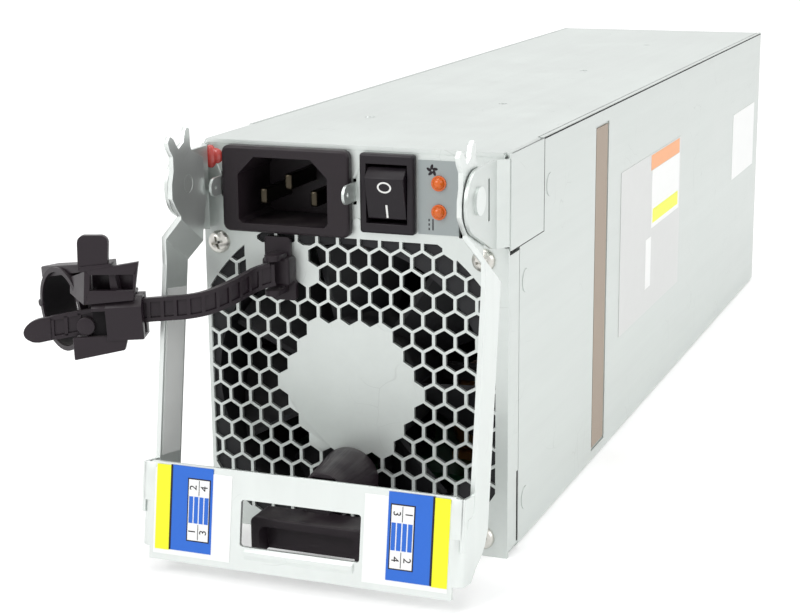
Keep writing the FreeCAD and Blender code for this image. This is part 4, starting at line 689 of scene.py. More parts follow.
def text_patch(form, text, size, centre, place, angle=0.0, material=0):
    """Add a plain number as a thin mesh, facing the front of its place."""
    curve = bpy.data.curves.new("number", "FONT")
    curve.body = text
    curve.size = size
    curve.align_x = "CENTER"
    curve.align_y = "CENTER"
    curve.extrude = INK
    curve.resolution_u = 4
    holder = bpy.data.objects.new("number", curve)
    bpy.context.scene.collection.objects.link(holder)
    bpy.context.view_layer.update()
    shape = bpy.data.meshes.new_from_object(
        holder.evaluated_get(bpy.context.evaluated_depsgraph_get()))
    turn = Matrix.Rotation(angle, 3, "Z")
    added = bmesh.new()
    added.from_mesh(shape)
    bmesh.ops.remove_doubles(added, verts=added.verts, dist=1e-4)
    for vertex in added.verts:
        flat = turn @ Vector((vertex.co.x, vertex.co.y, 0.0))
        vertex.co = place((centre[0] + flat.x, centre[1] - vertex.co.z - INK,
                           centre[2] + flat.y))
    for face in added.faces:
        face.material_index = material
    mesh = bpy.data.meshes.new("number_part")
    added.to_mesh(mesh)
    added.free()
    form.from_mesh(mesh)
    bpy.data.objects.remove(holder)
    bpy.data.curves.remove(curve)
    bpy.data.meshes.remove(shape)
    bpy.data.meshes.remove(mesh)


# ---------------------------------------------------------------- geometry nodes

def node_socket(tree, label):
    """The identifier of a tree's input socket."""
    for item in tree.interface.items_tree:
        if item.item_type == "SOCKET" and item.in_out == "INPUT" and item.name == label:
            return item.identifier
    raise RuntimeError("no input called " + label)


def grown(name, source, tree, values):
    """Run a geometry tree on an object and keep the result as a plain mesh."""
    holder = new_object(name + "_source", source)
    modifier = holder.modifiers.new("grow", "NODES")
    modifier.node_group = tree
    for label, value in values.items():
        modifier[node_socket(tree, label)] = value
    bpy.context.view_layer.update()
    graph = bpy.context.evaluated_depsgraph_get()
    mesh = bpy.data.meshes.new_from_object(holder.evaluated_get(graph))
    mesh.name = name
    bpy.data.objects.remove(holder)
    return new_object(name, mesh)


def screw_head_tree():
    """Pan heads with a cross recess on given points, facing -Y."""
    tree, start, end = new_group(
        "pan_screws", "GeometryNodeTree",
        [("Geometry", "NodeSocketGeometry", None), ("Head Radius", "NodeSocketFloat", 0.0034),
         ("Rise", "NodeSocketFloat", 0.0019), ("Material", "NodeSocketMaterial", None)],
        [("Geometry", "NodeSocketGeometry")])
    radius = start.outputs["Head Radius"]
    rise = start.outputs["Rise"]
    ball = put(tree, "GeometryNodeMeshUVSphere", Segments=32, Rings=20, Radius=radius)
    share = put(tree, "ShaderNodeMath", {"operation": "DIVIDE"}, i0=rise, i1=radius)
    squash = put(tree, "ShaderNodeCombineXYZ", X=1.0, Y=share.outputs[0], Z=1.0)
    dome = put(tree, "GeometryNodeTransform", Geometry=ball.outputs[0],
               Scale=squash.outputs[0])
    arm_long = product(tree, radius, 1.1)
    arm_thin = product(tree, radius, 0.22)
    deep = product(tree, rise, 1.3)
    lift = product(tree, rise, -1.0)
    at = put(tree, "ShaderNodeCombineXYZ", X=0.0, Y=lift, Z=0.0)
    arms = []
    for across, up in ((arm_long, arm_thin), (arm_thin, arm_long)):
        size = put(tree, "ShaderNodeCombineXYZ", X=across, Y=deep, Z=up)
        arm = put(tree, "GeometryNodeMeshCube", Size=size.outputs[0])
        arms.append(put(tree, "GeometryNodeTransform", Geometry=arm.outputs[0],
                        Translation=at.outputs[0]))
    cut_first = put(tree, "GeometryNodeMeshBoolean", {"operation": "DIFFERENCE"})
    tree.links.new(dome.outputs[0], cut_first.inputs[0])
    for arm in arms:
        tree.links.new(arm.outputs[0], cut_first.inputs[1])
    placed = put(tree, "GeometryNodeInstanceOnPoints", Points=start.outputs["Geometry"],
                 Instance=cut_first.outputs[0])
    turned = put(tree, "FunctionNodeRandomValue", {"data_type": "FLOAT_VECTOR"},
                 i0=(0.0, -0.8, 0.0), i1=(0.0, 0.8, 0.0), Seed=5)
    tree.links.new(turned.outputs[0], placed.inputs["Rotation"])
    real = put(tree, "GeometryNodeRealizeInstances", Geometry=placed.outputs[0])
    coated = put(tree, "GeometryNodeSetMaterial", Geometry=real.outputs[0],
                 Material=start.outputs["Material"])
    tree.links.new(coated.outputs[0], end.inputs["Geometry"])
    return tree


def ladder_strap_tree():
    """Band and two rails swept along a line, with rungs at an even pitch."""
    tree, start, end = new_group(
        "ladder_strap", "GeometryNodeTree",
        [("Geometry", "NodeSocketGeometry", None), ("Height", "NodeSocketFloat", 0.006),
         ("Band", "NodeSocketFloat", 0.001), ("Pitch", "NodeSocketFloat", 0.0037),
         ("Rung Width", "NodeSocketFloat", 0.0017), ("Rung Depth", "NodeSocketFloat", 0.0018),
         ("Rail", "NodeSocketFloat", 0.001), ("Material", "NodeSocketMaterial", None)],
        [("Geometry", "NodeSocketGeometry")])
    line = put(tree, "GeometryNodeMeshToCurve", Mesh=start.outputs["Geometry"])
    upright = put(tree, "GeometryNodeSetCurveNormal", {"mode": "Z_UP"},
                  Curve=line.outputs[0])
    profile = put(tree, "GeometryNodeCurvePrimitiveQuadrilateral",
                  Width=start.outputs["Band"], Height=start.outputs["Height"])
    soft = put(tree, "GeometryNodeFilletCurve", {"mode": "POLY"}, Curve=profile.outputs[0],
               Count=2, Radius=0.0003)
    edge = put(tree, "GeometryNodeCurvePrimitiveQuadrilateral",
               Width=start.outputs["Rung Depth"], Height=start.outputs["Rail"])
    spread = put(tree, "ShaderNodeMath", {"operation": "SUBTRACT"},
                 i0=start.outputs["Height"], i1=start.outputs["Rail"])
    profiles = put(tree, "GeometryNodeJoinGeometry")
    tree.links.new(soft.outputs[0], profiles.inputs[0])
    for share in (0.5, -0.5):
        offset = product(tree, spread.outputs[0], share)
        shift = put(tree, "ShaderNodeCombineXYZ", X=0.0, Y=offset, Z=0.0)
        rail = put(tree, "GeometryNodeTransform", Geometry=edge.outputs[0],
                   Translation=shift.outputs[0])
        tree.links.new(rail.outputs[0], profiles.inputs[0])
    band = put(tree, "GeometryNodeCurveToMesh", Curve=upright.outputs[0],
               Profile_Curve=profiles.outputs[0], Fill_Caps=True)
    steps = put(tree, "GeometryNodeResampleCurve", {"mode": "LENGTH"},
                Curve=upright.outputs[0], Length=start.outputs["Pitch"])
    size = put(tree, "ShaderNodeCombineXYZ", X=start.outputs["Rung Width"],
               Y=start.outputs["Rung Depth"], Z=spread.outputs[0])
    rung = put(tree, "GeometryNodeMeshCube", Size=size.outputs[0])
    tangent = put(tree, "GeometryNodeInputTangent")
    flat = put(tree, "ShaderNodeVectorMath", {"operation": "MULTIPLY"},
               i0=tangent.outputs[0], i1=(1.0, 1.0, 0.0))
    aligned = put(tree, "FunctionNodeAlignRotationToVector", {"axis": "X", "pivot_axis": "Z"},
                  Vector=flat.outputs[0])
    placed = put(tree, "GeometryNodeInstanceOnPoints", Points=steps.outputs[0],
                 Instance=rung.outputs[0], Rotation=aligned.outputs[0])
    real = put(tree, "GeometryNodeRealizeInstances", Geometry=placed.outputs[0])
    joined = put(tree, "GeometryNodeJoinGeometry")
    tree.links.new(band.outputs[0], joined.inputs[0])
    tree.links.new(real.outputs[0], joined.inputs[0])
    coated = put(tree, "GeometryNodeSetMaterial", Geometry=joined.outputs[0],
                 Material=start.outputs["Material"])
    tree.links.new(coated.outputs[0], end.inputs["Geometry"])
    return tree


def point_mesh(name, points, joined=False):
    """A mesh of loose points, or of one open line."""
    mesh = bpy.data.meshes.new(name)
    edges = [(index, index + 1) for index in range(len(points) - 1)] if joined else []
    mesh.from_pydata([tuple(point) for point in points], edges, [])
    return mesh


def smooth_line(points, steps=8):
    """Points of a smooth line through given points."""
    result = []
    for index in range(len(points) - 1):
        before = points[max(index - 1, 0)]
        here = points[index]
        there = points[index + 1]
        after = points[min(index + 2, len(points) - 1)]
        for step in range(steps):
            part = step / steps
            squared = part * part
            cubed = squared * part
            result.append(0.5 * (2 * here + (there - before) * part
                                 + (2 * before - 5 * here + 4 * there - after) * squared
                                 + (3 * here - before - 3 * there + after) * cubed))
    result.append(points[-1])
    return result


# ---------------------------------------------------------------- operators

class SUPPLY_OT_case(bpy.types.Operator):
    """Case sheets, rivets and gasket strips"""

    bl_idname = "supply.case"
    bl_label = "Case sheets"

    def execute(self, context):
        edge = drawn("sheet_edge")
        for node in ("chassis_tray", "rear_panel", "side_rivets"):
            dress(node, "case_sheet")
        dress("gasket_strips", "gasket")
        softened("top_cover", "cover_sheet", "case_sheet", edge)
        softened("front_panel", "grille_sheet", "case_sheet", edge, segments=1)
        self.rim()
        self.lap()
        return {"FINISHED"}

    def lap(self):
        """Right-hand lap of the cover, with near-black strips of painted shade for the shadow
        gap under it, its seam and a shadow line down the side.
        """
        lap_rise = 0.3
        shade_rise = 0.08
        seam_shade_rise = 0.03
        shadow_below_front, shadow_below_rear = 0.4, 0.45  # height of the painted shadow gap under the lap
        # reach of the painted shadow behind the lap
        shadow_behind = 1.1
        # front and rear of the painted shadow line down the side
        shadow_line_front, shadow_line_rear = 7.2, 8.2
        seam_shade_end = 330.0
        front, low = LAP_OUTLINE[1]
        rear, top = LAP_OUTLINE[3]
        shade = ((front + 1.5, top), (front + 1.5, low - shadow_below_front),
                 (rear + shadow_behind, low - shadow_below_rear), (rear + shadow_behind, top))
        inner = COVER_SIDE - SUNK
        across = swapped(in_case)
        form = bmesh.new()
        # near-black plate under the lap: painted shadow below and behind it
        extruded(form, shade, inner, COVER_SIDE + shade_rise, across, SHADE)
        extruded(form, LAP_OUTLINE, inner, COVER_SIDE + lap_rise, across, edge=0.08)
        # near-black strip painted as a shadow line down the side
        plain_block(form, (inner - 0.1, shadow_line_front, SHADOW_LINE_LOW),
                    (inner + 0.04, shadow_line_rear, SHADOW_LINE_HIGH), in_case, SHADE)
        # near-black strip of painted shade along the seam below the top
        plain_block(form, (inner, rear + 1.0, top - 0.3),
                    (COVER_SIDE + seam_shade_rise, seam_shade_end, top - 0.05), in_case, SHADE)
        finish_form(form, "cover_lap", ["case_sheet", "deep_shade"], "case")

    def rim(self):
        """Rolled bend where the top sheet turns down behind the panel."""
        half = 39.9
        form = bmesh.new()
        extruded(form, circle(0.7, 16, (0.75, 101.95)), -half, half, swapped(in_case))
        finish_form(form, "front_rim", ["case_sheet"], "case")


class SUPPLY_OT_inlet(bpy.types.Operator):
    """Mains inlet with its blades"""

    bl_idname = "supply.inlet"
    bl_label = "Inlet"

    def execute(self, context):
        softened("inlet_pins", "inlet_blades", "brass", width=0.35)
        softened("inlet_housing", "inlet_moulding", "inlet_plastic",
                 drawn("moulding_edge"))
        return {"FINISHED"}


class SUPPLY_OT_switch(bpy.types.Operator):
    """Rocker switch with its marks"""

    bl_idname = "supply.switch"
    bl_label = "Switch"

    def execute(self, context):
        softened("switch_bezel", "bezel_moulding", "switch_plastic", width=0.25)
        softened("switch_rocker", "rocker_moulding", "switch_plastic", width=0.3)
        self.marks()
        return {"FINISHED"}

    def marks(self):
        """White ring on the upper half and white bar on the lower half."""
        tilt = Matrix.Rotation(ROCKER_TILT, 3, "X")
        face = -4.4  # the rocker's front, before its axis
        ring_height = 3.0
        ring_radii = ((1.42, 1.05), (1.86, 1.47))  # across and up, inner and outer
        steps = 28
        film = drawn("label_film")
        form = bmesh.new()

        def on_rocker(point):
            return in_case(tilt @ Vector(point) + ROCKER_PIVOT)

        def ring(wide, tall, lift):
            turns = [2 * math.pi * step / steps for step in range(steps)]
            return [form.verts.new(on_rocker((wide * math.sin(turn), face - lift,
                                              ring_height + tall * math.cos(turn))))
                    for turn in turns]

        inner, inner_up, outer, outer_up = (
            ring(wide, tall, lift) for wide, tall in ring_radii for lift in (0.0, film))
        for first, second in ((inner, inner_up), (inner_up, outer_up), (outer_up, outer),
                              (outer, inner)):
            for step in range(steps):
                following = (step + 1) % steps
                form.faces.new((first[step], first[following], second[following],
                                second[step]))
        plain_block(form, (-0.1, face - film, -5.0), (0.42, face + 0.1, -1.6), on_rocker)
        finish_form(form, "rocker_marks", ["white_mark"], "rocker")


class SUPPLY_OT_indicators(bpy.types.Operator):
    """Legend plate and the two lamps"""

    bl_idname = "supply.indicators"
    bl_label = "Indicators"

    def execute(self, context):
        dress("legend_plate", "legend_grey")
        for node in ("indicator_holders", "fan_indicator", "supply_indicator"):
            dress(node, "lamp")
        self.marks()
        return {"FINISHED"}

    def marks(self):
        """Plain fan mark above and direct current mark below the lamps."""
        front = -0.3  # face of the legend plate
        raised = front - drawn("label_film")
        fan_mark = Vector((21.5, 97.9))
        blades = 5
        foot = 83.1  # lower end of the direct current mark
        dash, dash_pitch, dash_count = 0.6, 1.1, 3
        form = bmesh.new()
        for blade in range(blades):
            turn = Matrix.Rotation(2 * math.pi * blade / blades, 2)
            outline = [tuple(fan_mark + turn @ Vector(point))
                       for point in circle(0.72, 24, (0.75, 0.35), 0.5)]
            extruded(form, outline, raised, front, in_case)
        plain_block(form, (21.5, raised, foot), (21.8, front, foot + 2.8), in_case)
        for step in range(dash_count):
            z = foot + dash_pitch * step
            plain_block(form, (20.5, raised, z), (20.8, front, z + dash), in_case)
        finish_form(form, "legend_marks", ["black_moulding"], "case")


class SUPPLY_OT_fan(bpy.types.Operator):
    """Fan, its leads and its screws"""

    bl_idname = "supply.fan"
    bl_label = "Fan"

    def execute(self, context):
        dress("fan_frame", "fan_plastic")
        dress("fan_rotor", "fan_plastic")
        dress("fan_wire_red", "red_wire")
        dress("fan_wire_blue", "blue_wire")
        self.screws()
        self.seal()
        return {"FINISHED"}

    def screws(self):
        """Four pan heads on the fan's screw square."""
        size = sizes()
        points = [in_case((FAN_CENTRE.x + SCREW_OFFSET * across, 0.0,
                           FAN_CENTRE.z + SCREW_OFFSET * up))
                  for across in (-1, 1) for up in (-1, 1)]
        piece = grown("fan_screw_heads", point_mesh("screw_points", points),
                      screw_head_tree(),
                      {"Head Radius": size.screw_head, "Rise": size.screw_rise,
                       "Material": material_for("zinc")})
        smooth_by_angle(piece.data)
        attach(piece, "case")
        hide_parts("fan_screws")

    def seal(self):
        """Two drops of red lacquer over a screw."""
        form = bmesh.new()
        for centre, radii in (((-38.7, 0.1, 98.4), (1.9, 1.5, 3.0)),
                              ((-37.1, 0.4, 98.6), (2.1, 1.3, 2.1))):
            squashed_ball(form, centre, radii, in_case)
        seal = finish_form(form, "screw_seal", ["seal_red"], "case")
        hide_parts("sealed_screw")


class SUPPLY_OT_lever(bpy.types.Operator):
    """Locking lever with its labels"""

    bl_idname = "supply.lever"
    bl_label = "Lever"

    def execute(self, context):
        softened("bail_handle", "lever_sheet_part", "lever_sheet",
                 drawn("sheet_edge") * 1.5)
        dress("pivot_rivets", "lever_sheet")
        dress("lever_sticker", "label_silver")
        dress("handle_labels", "label_white")
        self.print_side("left", -1)
        self.print_side("right", 1)
        self.shoulders()
        return {"FINISHED"}

    def shoulders(self):
        """Metal between the front plate and the bend of each arm."""
        front = PLATE_FRONT - 0.05
        top = 25.6
        form = bmesh.new()
        for sign in (-1, 1):
            for inner, outer, low, rear in ((38.4, 41.7, 16.0, PLATE_FRONT + 0.9),
                                            (41.2, 42.1, 13.0, PLATE_FRONT + 7.0)):
                mirrored_block(form, sign, (inner, front, low), (outer, rear, top), on_lever,
                               edge=0.1)
        finish_form(form, "plate_shoulders", ["lever_sheet"], "lever")

    def print_side(self, side, sign):
        """Yellow band, blue block, white field with bars and plain numbers."""
        yellow, blue, white, black = range(4)
        film = drawn("label_film")
        front = PLATE_FRONT - 0.15  # face of the label
        out = 0.5 if sign > 0 else 0.0  # the right print sits further out
        form = bmesh.new()

        def patch(x0, x1, z0, z1, layers, finish):
            mirrored_block(form, sign, (x0 + out, front - film * layers, z0),
                           (x1 + out, front, z1), on_lever, finish)

        patch(34.2, 38.1, 4.2, 25.4, 1, yellow)
        patch(22.7, 34.2, 4.4, 25.6, 1, blue)
        patch(33.75, 34.25, 4.4, 25.6, 2, black)
        patch(23.3, 29.5, 7.1, 22.8, 2, black)
        patch(23.6, 29.2, 7.4, 22.5, 3, white)
        count = sizes().bar_count
        step = 5.6 / count
        for number in range(count):
            x = 23.7 + number * step
            patch(x, x + 0.78 * step, 11.7, 18.3, 4, blue)
        for z0, z1 in ((7.6, 11.4), (18.6, 22.3)):
            patch(26.3, 26.45, z0, z1, 4, black)
        rows = (("4", "2"), ("3", "1")) if sign < 0 else (("3", "1"), ("4", "2"))
        for row, z in zip(rows, (20.5, 9.6)):
            for text, x in zip(row, (24.9, 27.9)):
                text_patch(form, text, 2.7, ((x + out) * sign, front - film * 3, z), on_lever,
                           -math.pi / 2 * sign, black)
        finish_form(form, "handle_print_" + side,
                    ["label_yellow", "label_blue", "label_white", "black_moulding"], "lever")


class SUPPLY_OT_latch(bpy.types.Operator):
    """Latch post and grip"""

    bl_idname = "supply.latch"
    bl_label = "Latch"

    def execute(self, context):
        softened("latch_post", "post_moulding", "black_moulding", width=0.4)
        softened("latch_grip", "grip_moulding", "black_moulding", width=0.4)
        return {"FINISHED"}


class SUPPLY_OT_strap(bpy.types.Operator):
    """Ladder strap of the plug retainer, and its anchor"""

    bl_idname = "supply.strap"
    bl_label = "Retainer strap"

    def execute(self, context):
        size = sizes()
        last = TAIL_LENGTH - TIP_LENGTH - TIP_ROOT + 0.1
        tail = [on_tail((along, 0.0, 0.0)) for along in (8.0, 16.0, last)]
        points = smooth_line([in_case(point) for point in STRAP_POINTS] + tail)
        piece = grown("ladder_strap", point_mesh("strap_line", points, joined=True),
                      ladder_strap_tree(),
                      {"Height": size.strap_height, "Band": size.strap_band,
                       "Pitch": size.rung_pitch, "Rung Width": size.rung_width,
                       "Rung Depth": size.strap_depth, "Rail": size.strap_rail,
                       "Material": material_for("strap_nylon")})
        self.tip(piece)
        smooth_by_angle(piece.data)
        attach(piece, "strap")
        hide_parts("retainer_strap")
        softened("strap_anchor", "anchor_moulding", "black_moulding", width=0.3)
        return {"FINISHED"}

    def tip(self, piece):
        """Smooth rounded end of the strap, added to the ladder."""
        half = drawn("strap_height") / 2
        thin = drawn("strap_depth") / 2
        curve = TAIL_LENGTH - TIP_LENGTH
        root = curve - TIP_ROOT
        end = [(curve + x * TIP_LENGTH / half, z) for x, z in arc(half, -90.0, 90.0, 16)]
        form = bmesh.new()
        form.from_mesh(piece.data)
        extruded(form, [(root, -half)] + end + [(root, half)], -thin, thin, on_tail, edge=0.25)
        bmesh.ops.recalc_face_normals(form, faces=form.faces)
        form.to_mesh(piece.data)
        form.free()
        one_finish(piece.data, "strap_nylon")


class SUPPLY_OT_clamp(bpy.types.Operator):
    """Plug clamp with its jaw"""

    bl_idname = "supply.clamp"
    bl_label = "Plug clamp"

    def execute(self, context):
        self.lower_half()
        self.upper_half()
        return {"FINISHED"}

    def half_ring(self, form, low, high):
        """One half of the plug ring between two angles, with a near-black lining of painted
        shade inside it.
        """
        steps = 28
        across = swapped(in_ring)
        inner = RING_RADIUS - RING_WALL
        # the second ring is a near-black lining of painted shade
        for outside, inside, half, finish, edge in (
                (RING_RADIUS, inner, RING_HALF, 0, 0.2),
                (inner + 0.1, inner - 0.1, RING_HALF - 0.5, SHADE, 0.0)):
            outline = arc(outside, low, high, steps) + arc(inside, high, low, steps)
            extruded(form, outline, -half, half, across, finish, edge)

    def knuckle(self, form, start, end):
        """Part of the hinge barrel at the back of the ring."""
        barrel = circle(1.0, 16, (-RING_RADIUS - 0.1, 0.0))
        extruded(form, barrel, start, end, swapped(in_ring))

    def lower_half(self):
        """Ratchet block round the strap, lower plate and lower half ring."""
        across = swapped(in_clamp)
        form = bmesh.new()
        self.channel(form, across)
        lip = ((1.3, 1.2), (3.4, 0.9), (3.4, 1.7), (1.3, 3.9))
        extruded(form, lip, 8.7, 12.2, across, edge=0.08)
        # near-black plate of painted shade in the ratchet's opening, over the strap
        opening_shade = ((12.4, 1.3), (8.7, 1.3), (8.7, -5.6), (12.4, -5.6))
        extruded(form, opening_shade, 1.15, 1.35, in_clamp, SHADE)
        pawl = circle(2.3, 24, (14.2, -3.0))
        extruded(form, pawl, 1.15, 2.4, in_clamp, edge=0.4)
        back_rail = ((-3.9, -6.6), (-1.6, -6.6), (-1.6, 2.6), (-3.9, 2.6))
        extruded(form, back_rail, 8.7, 14.0, across, edge=0.15)
        ring_seat = ((-9.0, -8.0), (2.0, -8.0), (2.0, -6.9), (-9.0, -6.9))
        extruded(form, ring_seat, 8.0, 15.5, across, edge=0.15)
        lower_plate = ((3.6, -5.4), (17.6, -5.6), (17.7, -11.4), (4.8, -9.3))
        extruded(form, lower_plate, 1.4, 3.0, in_clamp, edge=0.35)
        self.half_ring(form, 180.0, 360.0)
        for start, end in ((-RING_HALF, -2.0), (2.0, RING_HALF)):
            self.knuckle(form, start, end)
        piece = finish_form(form, "clamp_moulding", ["strap_nylon", "deep_shade"], "clamp")
        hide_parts("clamp_body")

    def channel(self, form, across):
        """Four walls round the strap, where it enters the block."""
        low, top = -6.6, 4.0
        inner, bridge = 1.2, 1.3
        front, back = 3.5, -3.9
        walls = (
            ((inner, low), (front, low), (front, 1.7), (inner, top)),
            ((back, low), (-inner, low), (-inner, top), (back, top)),
            ((-bridge, 3.3), (bridge, 3.3), (bridge, top), (-bridge, top)),
            ((-bridge, low), (bridge, low), (bridge, -5.7), (-bridge, -5.7)))
        for outline in walls:
            extruded(form, outline, -0.3, 8.8, across, edge=0.15)

    def upper_half(self):
        """Upper half ring, front plate with its window, thumb tab and top arm."""
        form = bmesh.new()
        self.window(form)
        self.end_wall(form)
        tab = ([(14.6, 11.3), (7.2, 11.3), (6.5, 17.8)] + arc(1.8, 180.0, 90.0, 6, (8.3, 18.0))
               + arc(1.8, 90.0, 0.0, 6, (12.3, 18.2)))
        extruded(form, tab, 1.2, 3.0, in_clamp, edge=0.35)
        ledge = ((14.2, 12.3), (6.0, 12.9), (6.0, 11.3), (14.2, 10.9))
        extruded(form, ledge, -2.5, 3.4, in_clamp, edge=0.25)
        arm = ((-10.2, 6.6), (-10.2, 9.6), (13.0, 13.2), (13.0, 11.2))
        extruded(form, arm, -1.5, 4.0, swapped(in_ring), edge=0.4)
        self.half_ring(form, 0.0, 180.0)
        self.knuckle(form, -1.8, 1.8)
        piece = finish_form(form, "jaw_moulding", ["strap_nylon", "deep_shade"], "jaw")
        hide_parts("clamp_jaw")

    def window(self, form):
        """Frame bars of the front plate, and the ribs seen through its window."""
        frame_bars = (
            ((12.2, 11.3), (-0.6, 12.9), (0.3, 9.8), (11.9, 10.2)),
            ((12.4, 6.3), (1.0, 5.8), (1.4, 3.4), (13.3, 2.8)),
            ((0.9, 9.9), (-0.6, 12.9), (1.4, 3.4), (1.3, 5.7)),
            ((12.9, 11.2), (11.6, 10.3), (12.1, 6.2), (13.9, 2.8)))
        for outline in frame_bars:
            extruded(form, outline, 1.9, 3.5, in_clamp, edge=0.12)
        back_plate = ((12.4, 10.9), (6.2, 11.2), (5.4, 5.0), (12.6, 4.8))
        back_step = ((6.4, 9.5), (1.7, 9.2), (1.9, 4.6), (6.2, 4.6))
        cross_rib = ((7.3, 10.6), (6.0, 10.8), (5.2, 5.4), (7.2, 5.0))
        floor_rib = ((12.0, 5.0), (1.5, 5.0), (1.5, 4.2), (12.0, 4.2))
        for outline, start, end in ((back_plate, -3.4, -2.2), (back_step, -3.4, -1.8),
                                    (cross_rib, -2.4, 2.0), (floor_rib, -3.9, 2.0)):
            extruded(form, outline, start, end, in_clamp, edge=0.1)

    def end_wall(self, form):
        """Slanted wall between the front plate and the ring."""
        thick = 1.3
        edges = ((12.6, 3.4, 11.2), (13.9, 3.4, 2.8), (19.0, -6.0, 7.9), (19.4, -6.0, 3.8))
        cornered(form, [(along - shift, front, up) for shift in (0.0, thick)
                        for along, front, up in edges], in_clamp)


class SUPPLY_OT_labels(bpy.types.Operator):
    """Bare side labels with their colour bands"""

    bl_idname = "supply.labels"
    bl_label = "Side labels"

    def execute(self, context):
        dress("rating_label", "label_silver")
        dress("rear_label", "label_white")
        orange, white, yellow = range(3)
        film = drawn("label_film")
        base = 41.15  # face of the label
        form = bmesh.new()
        for y0, y1, z0, z1, layers, finish in (
                (145.5, 185.3, 75.8, 80.6, 1, orange),
                (147.0, 186.0, 57.0, 75.6, 1, white),
                (148.5, 184.0, 58.5, 63.0, 2, yellow),
                (140.2, 147.2, 38.4, 54.4, 1, white)):
            plain_block(form, (base, y0, z0), (base + film * layers, y1, z1), in_case,
                        finish)
        finish_form(form, "side_print", ["label_orange", "label_white", "label_yellow"],
                    "case")
        return {"FINISHED"}


class SUPPLY_OT_inside(bpy.types.Operator):
    """Board and parts inside the case"""

    bl_idname = "supply.inside"
    bl_label = "Inside"

    def execute(self, context):
        for node, finish in (
                ("main_board", "board"), ("board_standoffs", "zinc"),
                ("board_screws", "zinc"), ("insulation_sheet", "label_white"),
                ("heat_sinks", "aluminium"), ("bulk_capacitors", "sleeve"),
                ("transformer_core", "ferrite"), ("transformer_windings", "winding"),
                ("filter_choke", "winding"), ("output_connector", "black_moulding"),
                ("output_contacts", "contact")):
            dress(node, finish)
        return {"FINISHED"}


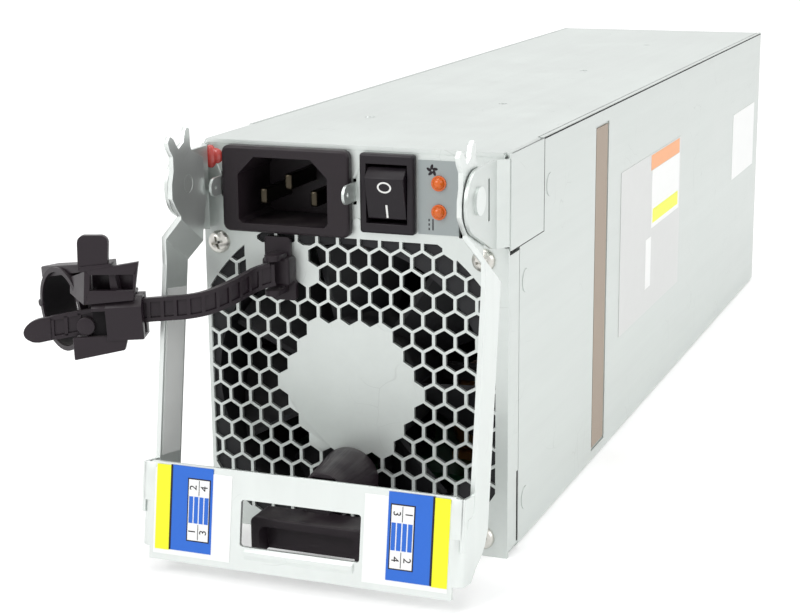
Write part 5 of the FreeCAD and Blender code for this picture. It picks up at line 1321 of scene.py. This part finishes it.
class SUPPLY_OT_stage(bpy.types.Operator):
    """Floor, lamps, world and camera"""

    bl_idname = "supply.stage"
    bl_label = "Stage"

    def execute(self, context):
        self.floor()
        self.world()
        for name, place, size, power in (("key_light", (-0.9, -1.6, 1.5), 1.2, 20.0),
                                         ("side_light", (1.7, -0.5, 0.9), 1.2, 9.0),
                                         ("top_light", (0.0, 0.2, 1.9), 1.6, 17.0)):
            self.lamp(name, place, size, power)
        self.camera()
        return {"FINISHED"}

    def floor(self):
        """Pale floor under the object."""
        half = sizes().ground_size / 2
        mesh = bpy.data.meshes.new("floor")
        mesh.from_pydata([(-half, -half, 0), (half, -half, 0), (half, half, 0),
                          (-half, half, 0)], [], [(0, 1, 2, 3)])
        material = bpy.data.materials.new("floor")
        material.use_nodes = True
        tree = material.node_tree
        shader = tree.nodes["Principled BSDF"]
        shader.inputs["Base Color"].default_value = scaled(colours().ground, 1.0)
        shader.inputs["Roughness"].default_value = 0.9
        shader.inputs["Specular IOR Level"].default_value = 0.1
        shader.inputs["Emission Color"].default_value = (1.0, 1.0, 1.0, 1.0)
        place = put(tree, "ShaderNodeTexCoord").outputs["Object"]
        away = put(tree, "ShaderNodeVectorMath", {"operation": "LENGTH"}, i0=place)
        fade = put(tree, "ShaderNodeMapRange", Value=away.outputs["Value"], From_Min=0.5,
                   From_Max=2.2, To_Min=0.27, To_Max=0.6)
        tree.links.new(fade.outputs[0], shader.inputs["Emission Strength"])
        mesh.materials.append(material)
        new_object("floor", mesh)

    def world(self):
        """Soft pale surroundings, white to the camera and in reflections."""
        world = bpy.data.worlds.new("surroundings")
        bpy.context.scene.world = world
        world.use_nodes = True
        tree = world.node_tree
        soft = tree.nodes["Background"]
        soft.inputs["Color"].default_value = (1.0, 1.0, 1.0, 1.0)
        soft.inputs["Strength"].default_value = 0.5
        white = put(tree, "ShaderNodeBackground", Color=(1.0, 1.0, 1.0, 1.0), Strength=1.0)
        path = put(tree, "ShaderNodeLightPath")
        seen = put(tree, "ShaderNodeMath", {"operation": "MAXIMUM"},
                   i0=path.outputs["Is Camera Ray"], i1=path.outputs["Is Glossy Ray"])
        wide = put(tree, "ShaderNodeMath", {"operation": "MAXIMUM"},
                   i0=seen.outputs[0], i1=path.outputs["Is Transmission Ray"])
        both = put(tree, "ShaderNodeMixShader", i0=wide.outputs[0],
                   i1=soft.outputs[0], i2=white.outputs[0])
        tree.links.new(both.outputs[0], tree.nodes["World Output"].inputs["Surface"])

    def lamp(self, name, place, size, power):
        """A soft square lamp that looks at the object."""
        light = bpy.data.lights.new(name, "AREA")
        light.size = size
        light.energy = power
        holder = bpy.data.objects.new(name, light)
        holder.location = place
        target = Vector((0.0, -0.05, 0.05))
        holder.rotation_euler = (target - holder.location).to_track_quat("-Z", "Y").to_euler()
        bpy.context.scene.collection.objects.link(holder)

    def camera(self):
        """Camera at the viewing angle of the front right corner."""
        place = (0.170838, -0.569893, 0.169388)
        round_right, down, roll = 21.385, 13.777, -0.537  # degrees
        data = bpy.data.cameras.new("camera")
        data.lens = 80.72
        data.sensor_width = 36.0
        data.clip_start = 0.01
        holder = bpy.data.objects.new("camera", data)
        turn = (Matrix.Rotation(math.radians(round_right), 4, "Z")
                @ Matrix.Rotation(math.radians(90.0 - down), 4, "X")
                @ Matrix.Rotation(math.radians(roll), 4, "Z"))
        holder.matrix_world = Matrix.Translation(place) @ turn
        bpy.context.scene.collection.objects.link(holder)
        bpy.context.scene.camera = holder
        bpy.context.scene.view_settings.view_transform = "Standard"


class SUPPLY_PT_panel(bpy.types.Panel):
    """Sidebar panel that lists the steps"""

    bl_idname = "SUPPLY_PT_panel"
    bl_label = "Power supply"
    bl_space_type = "VIEW_3D"
    bl_region_type = "UI"
    bl_category = "Supply"

    def draw(self, context):
        for operator in OPERATORS:
            self.layout.operator(operator.bl_idname)
        for group in (context.scene.supply_sizes, context.scene.supply_colours):
            for name in group.__annotations__:
                self.layout.prop(group, name)


OPERATORS = (
    SUPPLY_OT_case, SUPPLY_OT_inlet, SUPPLY_OT_switch, SUPPLY_OT_indicators,
    SUPPLY_OT_fan, SUPPLY_OT_lever, SUPPLY_OT_latch, SUPPLY_OT_strap, SUPPLY_OT_clamp,
    SUPPLY_OT_labels, SUPPLY_OT_inside, SUPPLY_OT_stage)
CLASSES = (SupplySizes, SupplyColours) + OPERATORS + (SUPPLY_PT_panel,)


def register():
    """Register the classes and the scene settings."""
    for kind in CLASSES:
        bpy.utils.register_class(kind)
    bpy.types.Scene.supply_sizes = PointerProperty(type=SupplySizes)
    bpy.types.Scene.supply_colours = PointerProperty(type=SupplyColours)


def unregister():
    """Take the classes and the scene settings away."""
    del bpy.types.Scene.supply_colours
    del bpy.types.Scene.supply_sizes
    for kind in reversed(CLASSES):
        bpy.utils.unregister_class(kind)


def main():
    """Build every piece and the stage."""
    register()
    for name in ("case", "inlet", "switch", "indicators", "fan", "lever", "latch", "strap",
                 "clamp", "labels", "inside", "stage"):
        getattr(bpy.ops.supply, name)()


if __name__ == "__main__":
    main()
